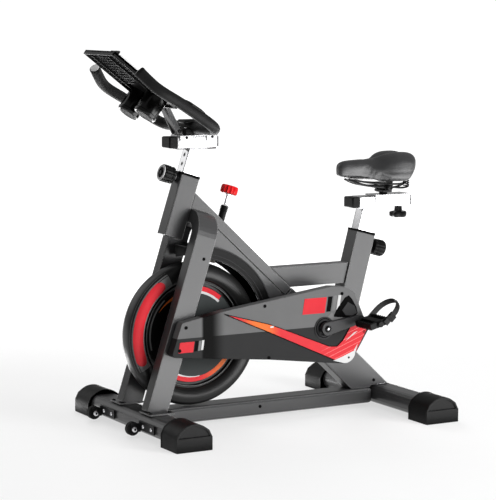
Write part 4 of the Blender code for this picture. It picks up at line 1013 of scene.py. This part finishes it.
BAR_HALF_LINE = [
    (-0.195, 0.000, 0.8975),
    (-0.195, 0.060, 0.8975),
    (-0.195, 0.115, 0.8975),
    (-0.200, 0.160, 0.9000),
    (-0.222, 0.184, 0.9140),
    (-0.262, 0.190, 0.9400),
    (-0.320, 0.190, 0.9770),
    (-0.372, 0.189, 1.0070),
    (-0.398, 0.180, 1.0260),
    (-0.418, 0.165, 1.0480),
    (-0.437, 0.150, 1.0720),
]


def handlebar_details():
    """The foam-covered bar with its end caps, the touch pads, the clamp and the brace's side plates."""
    line = [at(x, -y, z) for x, y, z in reversed(BAR_HALF_LINE[1:])]
    line += [at(x, y, z) for x, y, z in BAR_HALF_LINE]
    bar = pipe("bar_grip", line, 0.0165, FOAM, "handlebar_unit", 10)
    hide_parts("handlebar")
    for side, end, before in (("near", line[0], line[1]), ("far", line[-1], line[-2])):
        axis = (end - before).normalized()
        disc = [(0.0, 0.0024), (0.0132, 0.0024), (0.0140, 0.0016), (0.0140, 0.0002)]
        turned(f"bar_end_{side}", disc, facing(end, axis), LIGHT_CAP, "handlebar_unit", 48)
        rim = [(0.0138, 0.0004), (0.0146, 0.0014), (0.0154, 0.0012), (0.0164, -0.0004), (0.0169, -0.004)]
        rim.append((0.0164, -0.009))
        turned(f"bar_end_rim_{side}", rim, facing(end, axis), PLASTIC, "handlebar_unit", 48)
    for side, sign in SIDES:
        touch_pad(side, sign)
    clamps = [(at(x, y, 0.8972), UP) for x in (-0.222, -0.168) for y in (-0.020, 0.020)]
    bolts("clamp_bolts", clamps, 0.0045, 0.0030, ZINC, "handlebar_unit")
    caps = [((0.062, 0.050, 0.010), placed(-0.195, 0, 0.9165))]
    blocks("clamp_top", caps, PLASTIC, "handlebar_unit", 0.003)
    arm = from_base([(-0.2480, 0.878), (-0.2300, 0.878), (-0.2740, 0.9610), (-0.2930, 0.9700)])
    shape = bmesh.new()
    for y in (-0.018, 0.018):
        add_slab(shape, arm, y - 0.003, y + 0.003)
    plates = show("brace_plates", mesh_of("brace_plates", shape), PAINT, "handlebar_unit")
    round_edges(plates, 0.001, 2)
    brace = [(at(-0.2430, -0.0212, 0.8880), NEAR)]
    bolts("brace_bolts", brace, 0.0060, 0.0035, DARK_STEEL, "handlebar_unit")


def touch_pad(side, sign):
    """A black sensor pad let into the top of the bar's sloping grip."""
    start = at(-0.258, sign * 0.1900, 0.9375)
    end = at(-0.318, sign * 0.1900, 0.9757)
    along = (end - start).normalized()
    side_way = Vector((0, 1, 0))
    normal = along.cross(side_way)
    if normal.z < 0:
        normal = -normal
    shape = bmesh.new()
    rows = []
    steps = 14
    for i in range(steps + 1):
        t = i / steps
        centre = start + (end - start) * t
        taper = min(1.0, 5 * t, 5 * (1 - t))
        row = []
        for j in range(9):
            angle = math.radians(-52 + 13 * j) * (0.55 + 0.45 * taper)
            out = 0.0166 + 0.0022 * taper
            away = math.cos(angle) * normal + math.sin(angle) * side_way
            row.append(shape.verts.new(centre + out * away))
        rows.append(row)
    join(shape, rows, closed=False)
    pad = show(f"touch_pad_{side}", mesh_of("touch_pad", shape), GLOSS_BLACK, "handlebar_unit")
    thick = pad.modifiers.new("thickness", "SOLIDIFY")
    thick.thickness = 0.002
    thick.offset = 0


# Rack and cups


def rack_details():
    """Rim, grid and rails under the tray, a mat and a clip on it, a clear edge strip whose pale grey is a
    painted highlight, and the cups.
    """
    length, half = 0.260, 0.100
    items = []
    for y in (-half + 0.003, half - 0.003):
        items.append(((length, 0.006, 0.014), on_rack(length / 2, -0.003, y)))
    for up in (0.003, length - 0.003):
        items.append(((0.006, 2 * half, 0.014), on_rack(up, -0.003)))
    rim = blocks("rack_rim", items, PLASTIC, "handlebar_unit", 0.0015)
    ribs = []
    for index in range(13):
        y = -0.090 + 0.015 * index
        ribs.append(((0.140, 0.0018, 0.005), on_rack(0.183, -0.0050, y)))
    for index in range(12):
        up = 0.115 + 0.0125 * index
        ribs.append(((0.0018, 0.190, 0.005), on_rack(up, -0.0050)))
    blocks("rack_grid", ribs, GREY_PLASTIC, "handlebar_unit")
    strips = []
    for y in (-0.055, 0.055):
        strips.append(((0.200, 0.0040, 0.009), on_rack(0.150, -0.0068, y)))
    blocks("rack_rails", strips, PLASTIC, "handlebar_unit", 0.001)
    # The edge strip is a clear strip along the tray's near edge; its pale grey is a painted highlight.
    edge = [((0.110, 0.0045, 0.0055), on_rack(0.182, 0.0052, -0.0975))]
    blocks("rack_edge_strip", edge, LIGHT_CAP, "handlebar_unit", 0.001)
    clip = [
        ((0.016, 0.030, 0.008), on_rack(0.246, 0.0060, -0.070)),
        ((0.006, 0.024, 0.016), on_rack(0.240, 0.0100, -0.070)),
    ]
    blocks("rack_clip", clip, PLASTIC, "handlebar_unit", 0.001)
    mat = [((0.140, 0.160, 0.0012), on_rack(0.178, 0.0034))]
    blocks("rack_mat", mat, RUBBER, "handlebar_unit", 0.0004)
    for side, sign in SIDES:
        cup(side, sign)


def cup(side, sign):
    """A glossy cup with a rolled rim, a rounded, sunk base and a matte foot with two grooves."""
    radius, wall, depth, top = 0.0350, 0.0022, 0.076, 0.0033
    profile = [
        (0.0, wall - depth),
        (radius - 0.008, wall - depth),
        (radius - 0.0045, wall - depth + 0.0015),
        (radius - wall - 0.0006, wall - depth + 0.006),
        (radius - wall, 0.0),
        (radius - wall, top),
        (radius - wall + 0.001, top + 0.0026),
        (radius + 0.0015, top + 0.0034),
        (radius + 0.0040, top + 0.0022),
        (radius + 0.0045, top),
        (radius + 0.0002, top - 0.0004),
        (radius, -0.010),
        (radius - 0.0006, -depth + 0.012),
        (radius + 0.0006, -depth + 0.010),
        (radius + 0.0006, -depth + 0.005),
        (radius - 0.0012, -depth + 0.0015),
        (radius - 0.004, -depth),
        (radius - 0.006, -depth + 0.0012),
        (radius - 0.009, -depth + 0.0018),
        (0.0, -depth + 0.0018),
    ]
    matrix = on_rack(0.055, 0, sign * 0.054)
    made = turned(f"cup_shell_{side}", profile, matrix, GLOSS_BLACK, "handlebar_unit", 64, 30)
    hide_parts(f"cup_{side}")
    under = 0.0006 - depth
    foot = [(0.0, under), (0.0262, under), (0.0272, under + 0.0006), (0.0272, under + 0.0020)]
    for reach in (0.0215, 0.0130):
        groove = [(reach, under + 0.0005), (reach - 0.0015, under + 0.0005), (reach - 0.0016, under)]
        foot[1:1] = reversed([(reach + 0.0001, under)] + groove)
    turned(f"cup_foot_{side}", foot, matrix, BLACK_DECAL, "handlebar_unit", 48)


# Saddle


def smoothstep(value, low, high):
    """0 below low, 1 above high, smooth between."""
    t = max(0.0, min(1.0, (value - low) / (high - low)))
    return t * t * (3 - 2 * t)


def saddle_section(t):
    """Half width, top, bottom and skirt depth of the saddle's cushion at a fraction t from nose to tail."""
    nose = math.sqrt(max(0.0, 1 - (1 - min(t / 0.12, 1)) ** 2))
    tail = math.sqrt(max(0.0, 1 - max(0.0, (t - 0.84) / 0.16) ** 2))
    spread = 1 / (1 + math.exp(-(t - 0.56) / 0.075))
    half = (0.025 + 0.058 * spread) * (0.35 + 0.65 * nose) * (0.45 + 0.55 * tail)
    top = 0.772 + 0.025 / (1 + math.exp(-(t - 0.55) / 0.07)) - 0.016 * (1 - nose) - 0.014 * (1 - tail)
    top += 0.005 * (1 - smoothstep(t, 0.15, 0.45))
    bottom = 0.728 - 0.0035 * math.sin(math.pi * min(t / 0.8, 1)) + 0.004 * (1 - nose) + 0.008 * (1 - tail)
    skirt = 0.010 + 0.068 / (1 + math.exp(-(t - 0.42) / 0.08)) * (1 - 0.75 * smoothstep(t, 0.84, 1.0))
    return half, top, bottom, skirt


def saddle_form():
    """The unswollen cushion as one closed loft."""
    shape = bmesh.new()
    stations, around = 44, 40
    rings = []
    for step in range(stations + 1):
        t = step / stations
        half, top, bottom, skirt = saddle_section(t)
        middle = (top + bottom) / 2
        tall = (top - bottom) / 2
        ring = []
        for index in range(around):
            angle = 2 * math.pi * index / around
            across = math.copysign(abs(math.cos(angle)) ** 0.75, math.cos(angle))
            rise = math.copysign(abs(math.sin(angle)) ** 0.75, math.sin(angle))
            height = middle + tall * rise - skirt * max(0.0, -rise) * across**4
            ring.append(shape.verts.new(at(SADDLE_NOSE + SADDLE_LENGTH * t, half * across, height)))
        rings.append(ring)
    loft(shape, rings)
    return mesh_of("saddle_cushion", shape)


def swell(obj, voxel=0.0045, pressure=4.0, frames=20, cap=0.008):
    """Remesh a closed form, blow it up a little with cloth, and keep each point within a cap."""
    remesh = obj.modifiers.new("remesh", "REMESH")
    remesh.mode = "VOXEL"
    remesh.voxel_size = voxel
    apply_all(obj)
    rest = [vertex.co.copy() for vertex in obj.data.vertices]
    cloth = obj.modifiers.new("cloth", "CLOTH")
    cloth.settings.use_pressure = True
    cloth.settings.uniform_pressure_force = pressure
    cloth.settings.tension_stiffness = 25
    cloth.settings.compression_stiffness = 25
    cloth.settings.effector_weights.gravity = 0
    cloth.point_cache.frame_start = 1
    cloth.point_cache.frame_end = frames
    scene = bpy.context.scene
    for number in range(1, frames + 1):
        scene.frame_set(number)
    apply_all(obj)
    scene.frame_set(1)
    for vertex, start in zip(obj.data.vertices, rest):
        move = vertex.co - start
        if move.length > cap:
            vertex.co = start + move * (cap / move.length)


def apply_all(obj):
    """Replace a mesh by its modified self."""
    graph = bpy.context.evaluated_depsgraph_get()
    mesh = bpy.data.meshes.new_from_object(obj.evaluated_get(graph))
    obj.modifiers.clear()
    obj.data = mesh


def shape_saddle(mesh):
    """Press in the middle channel, lift the two lobes, notch and tuck the tail, and draw in a seam."""
    for vertex in mesh.vertices:
        x, y, z = vertex.co
        t = (x - BASE_X - SADDLE_NOSE) / SADDLE_LENGTH
        top = smoothstep(z, 0.752, 0.772)
        along = smoothstep(t, 0.30, 0.62) * (1 - 0.35 * smoothstep(t, 0.90, 1.0))
        groove = math.exp(-((y / 0.013) ** 2)) * along * top
        lobe = math.exp(-(((abs(y) - 0.045) / 0.024) ** 2)) * smoothstep(t, 0.50, 0.75) * top
        tail_notch = math.exp(-((y / 0.016) ** 2)) * smoothstep(t, 0.93, 1.0)
        under = 1 - smoothstep(z, 0.712, 0.772)
        tuck = 0.016 * smoothstep(t, 0.80, 1.0) * under**2
        vertex.co.z = z - 0.0095 * groove + 0.0035 * lobe
        vertex.co.x = x - 0.007 * tail_notch - tuck
        seam = math.exp(-(((z - 0.741) / 0.0022) ** 2))
        vertex.co.y = y * (1 - 0.035 * seam)


def saddle_cushion():
    """The padded cushion: swollen, shaped and smoothed."""
    cushion = linked("saddle_cushion", saddle_form())
    bpy.context.view_layer.update()
    swell(cushion)
    shape_saddle(cushion.data)
    cushion.data.materials.clear()
    cushion.data.materials.append(VINYL)
    cushion.data.shade_smooth()
    smooth = cushion.modifiers.new("smooth", "SMOOTH")
    smooth.iterations = 3
    smooth.factor = 0.4
    subdivision = cushion.modifiers.new("subdivision", "SUBSURF")
    subdivision.levels = 1
    subdivision.render_levels = 1
    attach(cushion, "saddle_unit")
    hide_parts("saddle")


def saddle_details():
    """The saddle's cushion, pan, wires, coil springs, jaws and clamp bolts, and the seat rail's knob."""
    saddle_cushion()
    saddle_pan()
    for side, sign in SIDES:
        saddle_wires(side, sign)
    jaw = [
        ((0.034, 0.052, 0.010), placed(0.486, 0, 0.7010)),
        ((0.034, 0.052, 0.009), placed(0.486, 0, 0.6790)),
    ]
    blocks("saddle_jaws", jaw, DARK_STEEL, "saddle_unit", 0.002)
    ends = [(SADDLE_PIVOT + Vector((0, sign * 0.0375, 0)), (0, sign, 0)) for sign in (-1, 1)]
    bolts("saddle_clamp_bolts", ends, 0.0100, 0.0060, DARK_STEEL, "seat_slider")
    seat_knob_details()


def saddle_pan():
    """The stiff pan under the cushion."""
    shape = bmesh.new()
    around = 32
    steps = 24
    rings = []
    for step in range(steps + 1):
        t = 0.16 + 0.74 * step / steps
        half, bottom = saddle_section(t)[0:3:2]
        ring = []
        for index in range(around):
            angle = 2 * math.pi * index / around
            across = 0.70 * half * math.cos(angle)
            rise = bottom + 0.001 + 0.0055 * math.sin(angle)
            ring.append(shape.verts.new(at(SADDLE_NOSE + SADDLE_LENGTH * t, across, rise)))
        rings.append(ring)
    loft(shape, rings)
    show("saddle_pan", mesh_of("saddle_pan", shape), PLASTIC, "saddle_unit", None, 60)


def saddle_wires(side, sign):
    """A double wire from the nose to the tail and a coil spring under the rear lobe."""
    lower = [
        (0.350, 0.010, 0.7190),
        (0.385, 0.016, 0.7050),
        (0.430, 0.023, 0.6960),
        (0.486, 0.026, 0.6925),
        (0.530, 0.031, 0.6880),
        (0.546, 0.040, 0.6900),
        (0.549, 0.048, 0.6950),
    ]
    upper = [
        (0.372, 0.013, 0.7170),
        (0.410, 0.020, 0.7090),
        (0.450, 0.026, 0.7040),
        (0.490, 0.029, 0.7010),
        (0.525, 0.036, 0.7010),
        (0.541, 0.046, 0.7060),
    ]
    for label, line in (("lower", lower), ("upper", upper)):
        points = [at(x, sign * y, z) for x, y, z in line]
        pipe(f"saddle_wire_{label}_{side}", points, 0.0032, DARK_STEEL, "saddle_unit", 6)
    turns, radius, steps = 3.5, 0.0090, 56
    coil = []
    for index in range(steps + 1):
        share = index / steps
        angle = 2 * math.pi * turns * share
        offset = Vector((radius * math.cos(angle), radius * math.sin(angle), 0.021 * share))
        coil.append(at(0.541, sign * 0.047, 0.6935) + offset)
    pipe(f"saddle_spring_{side}", coil, 0.0017, DARK_STEEL, "saddle_unit", 5, False)


def seat_knob_details():
    """The five-lobed clamp knob under the seat rail."""
    outline = []
    steps = 90
    for index in range(steps):
        angle = 2 * math.pi * index / steps
        reach = 0.0255 + 0.0035 * math.cos(5 * angle)
        outline.append((reach * math.cos(angle), reach * math.sin(angle)))
    matrix = placed(0.544, 0, 0.593)
    shape = bmesh.new()
    levels = [(0.80, 0.0), (0.94, 0.0018), (1.0, 0.0050), (1.0, 0.0130), (0.93, 0.0165), (0.72, 0.0180)]
    levels += [(0.46, 0.0195), (0.40, 0.0365)]
    add_knob(shape, outline, levels, matrix)
    knob = show("seat_clamp_knob", mesh_of("seat_clamp_knob", shape), PLASTIC, "seat_knob_unit", None, 50)
    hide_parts("seat_knob")


# Camera, floor and light


def glow(material, strength):
    """Make a material shine white by an even amount."""
    shader = material.node_tree.nodes["Principled BSDF"]
    shader.inputs["Emission Color"].default_value = (1, 1, 1, 1)
    shader.inputs["Emission Strength"].default_value = strength


def staged(name, shape, material):
    """Put a stage mesh in the scene that doesn't cast shadows or light the object's dull surfaces."""
    mesh = bpy.data.meshes.new(name)
    shape.to_mesh(mesh)
    shape.free()
    mesh.materials.append(material)
    obj = linked(name, mesh)
    obj.visible_diffuse = False
    obj.visible_shadow = False
    return obj


def shining(name, strength):
    """A material that only shines."""
    made = finish(name, (0.0, 0.0, 0.0), 1.0, mottle=0.0, grain=0.0, specular=0.0)
    glow(made, strength)
    return made


def floor_and_backdrop():
    """A pale floor that fades to white, and a white backdrop all round."""
    pale = finish("floor_pale", (0.34, 0.34, 0.34), 0.75, mottle=0.01, grain=0.0, specular=0.0)
    glow(pale, 1.0)
    tree = pale.node_tree
    reach = add(tree, "VectorMath", {0: add(tree, "TexCoord").outputs["Object"]}, operation="LENGTH")
    strength = ramp(tree, reach.outputs["Value"], 1.2, 4.0, 0.62, 1.05)
    tree.links.new(strength, tree.nodes["Principled BSDF"].inputs["Emission Strength"])
    shape = bmesh.new()
    bmesh.ops.create_circle(shape, cap_ends=True, radius=40, segments=64)
    staged("floor", shape, pale)

    shape = bmesh.new()
    bmesh.ops.create_uvsphere(shape, u_segments=48, v_segments=24, radius=39)
    backdrop = staged("backdrop", shape, shining("backdrop_white", 1.05))
    backdrop.visible_glossy = False


def reflectors():
    """Light panels seen only in reflections: one on the floor at each side and one up at the far front."""
    for side, sign in SIDES:
        shape = bmesh.new()
        corners = ((-0.7, 0.42), (1.7, 0.42), (7.0, 8.0), (1.8, 8.0))
        shape.faces.new([shape.verts.new((x, sign * y, 0.002)) for x, y in corners])
        card = staged(f"reflector_{side}", shape, shining(f"reflector_{side}_glow", 7.0))
        card.visible_camera = False
    shape = bmesh.new()
    bmesh.ops.create_grid(shape, x_segments=1, y_segments=1, size=2.6)
    card = staged("reflector_high", shape, shining("reflector_high_glow", 1.3))
    card.visible_camera = False
    card.location = (-3.2, 5.4, 4.2)
    aim_at(card, Vector((0, 0, 0.6)))


def aim_at(obj, target):
    """Turn an object's -Z towards a point."""
    obj.rotation_euler = (target - obj.location).to_track_quat("-Z", "Y").to_euler()


def studio():
    """Camera at the viewing angle, a pale floor, a white backdrop and soft light."""
    camera = linked("camera", bpy.data.cameras.new("camera"))
    camera.data.lens = 146.75
    camera.data.sensor_width = 36
    camera.data.clip_end = 100
    camera.location = at(-2.98346, -5.38109, 1.27332)
    aim_at(camera, at(0, 0, 0.51866))
    bpy.context.scene.camera = camera
    floor_and_backdrop()
    reflectors()

    bpy.context.scene.view_settings.view_transform = "Standard"
    world = bpy.data.worlds.new("studio")
    world.use_nodes = True
    background = world.node_tree.nodes["Background"]
    background.inputs["Color"].default_value = (1, 1, 1, 1)
    background.inputs["Strength"].default_value = 0.32
    bpy.context.scene.world = world

    for name, place, size, energy in (
        ("side_softbox", (2.6, -5.0, 1.35), 2.4, 480),
        ("top_softbox", (0.2, 0.2, 3.6), 3.0, 30),
        ("back_softbox", (1.0, 4.0, 2.6), 2.4, 120),
    ):
        lamp = bpy.data.lights.new(name, "AREA")
        lamp.shape = "SQUARE"
        lamp.size = size
        lamp.energy = energy
        obj = linked(name, lamp)
        obj.location = place
        obj.visible_glossy = False
        aim_at(obj, Vector((0, 0, 0.5)))


def frame_materials():
    """Materials on the CAD nodes."""
    dress(PAINT, "base_beam", "front_stabilizer", "rear_stabilizer", "fork", "head_sleeve", "main_strut")
    dress(PAINT, "gusset_plate", "top_tube", "seat_sleeve", "rear_strut", "bottom_bracket_shell")
    dress(PAINT, "rack_brace")
    dress(PLASTIC, "front_cap_near", "front_cap_far", "rear_cap_near", "rear_cap_far", "wheel_fender")
    dress(PLASTIC, "chain_cover_back", "brake_sleeve", "bar_clamp", "device_rack", "saddle_clamp")
    dress(PLASTIC, "head_pull_knob", "seat_pull_knob", "seat_knob", "pedal_near", "pedal_far")
    dress(COVER, "chain_cover")
    dress(SWOOSH, "cover_trim")
    dress(DARK_STEEL, "axle_plate_near", "axle_plate_far", "roller_bracket_near", "roller_bracket_far")
    dress(DARK_STEEL, "saddle_frame_near", "saddle_frame_far", "drive_pulley", "flywheel_pulley")
    dress(STEEL, "flywheel_axle", "crank_spindle", "brake_rod")
    dress(ARM, "crank_arm_near", "crank_arm_far")
    dress(RUBBER, "drive_belt", "roller_near", "roller_far", "toe_strap_near", "toe_strap_far")
    dress(CHROME, "handlebar_post", "handlebar_rail", "seat_post", "seat_rail")
    dress(CHROME, "handlebar_carriage", "seat_carriage")
    dress(GLOSS_BLACK, "cup_near", "cup_far")
    dress(FOAM, "handlebar")
    dress(IRON, "flywheel")
    dress(RED_PLASTIC, "tension_knob")
    dress(VINYL, "saddle")
    dress(FELT, "brake_pad")


studio()
frame_materials()
bar_caps()
roller_details()
base_fasteners()
sleeve_collars()
flywheel_details()
fender_details()
cover_details()
crank_details()
brake_details()
pin_details()
rail_details()
handlebar_details()
rack_details()
saddle_details()
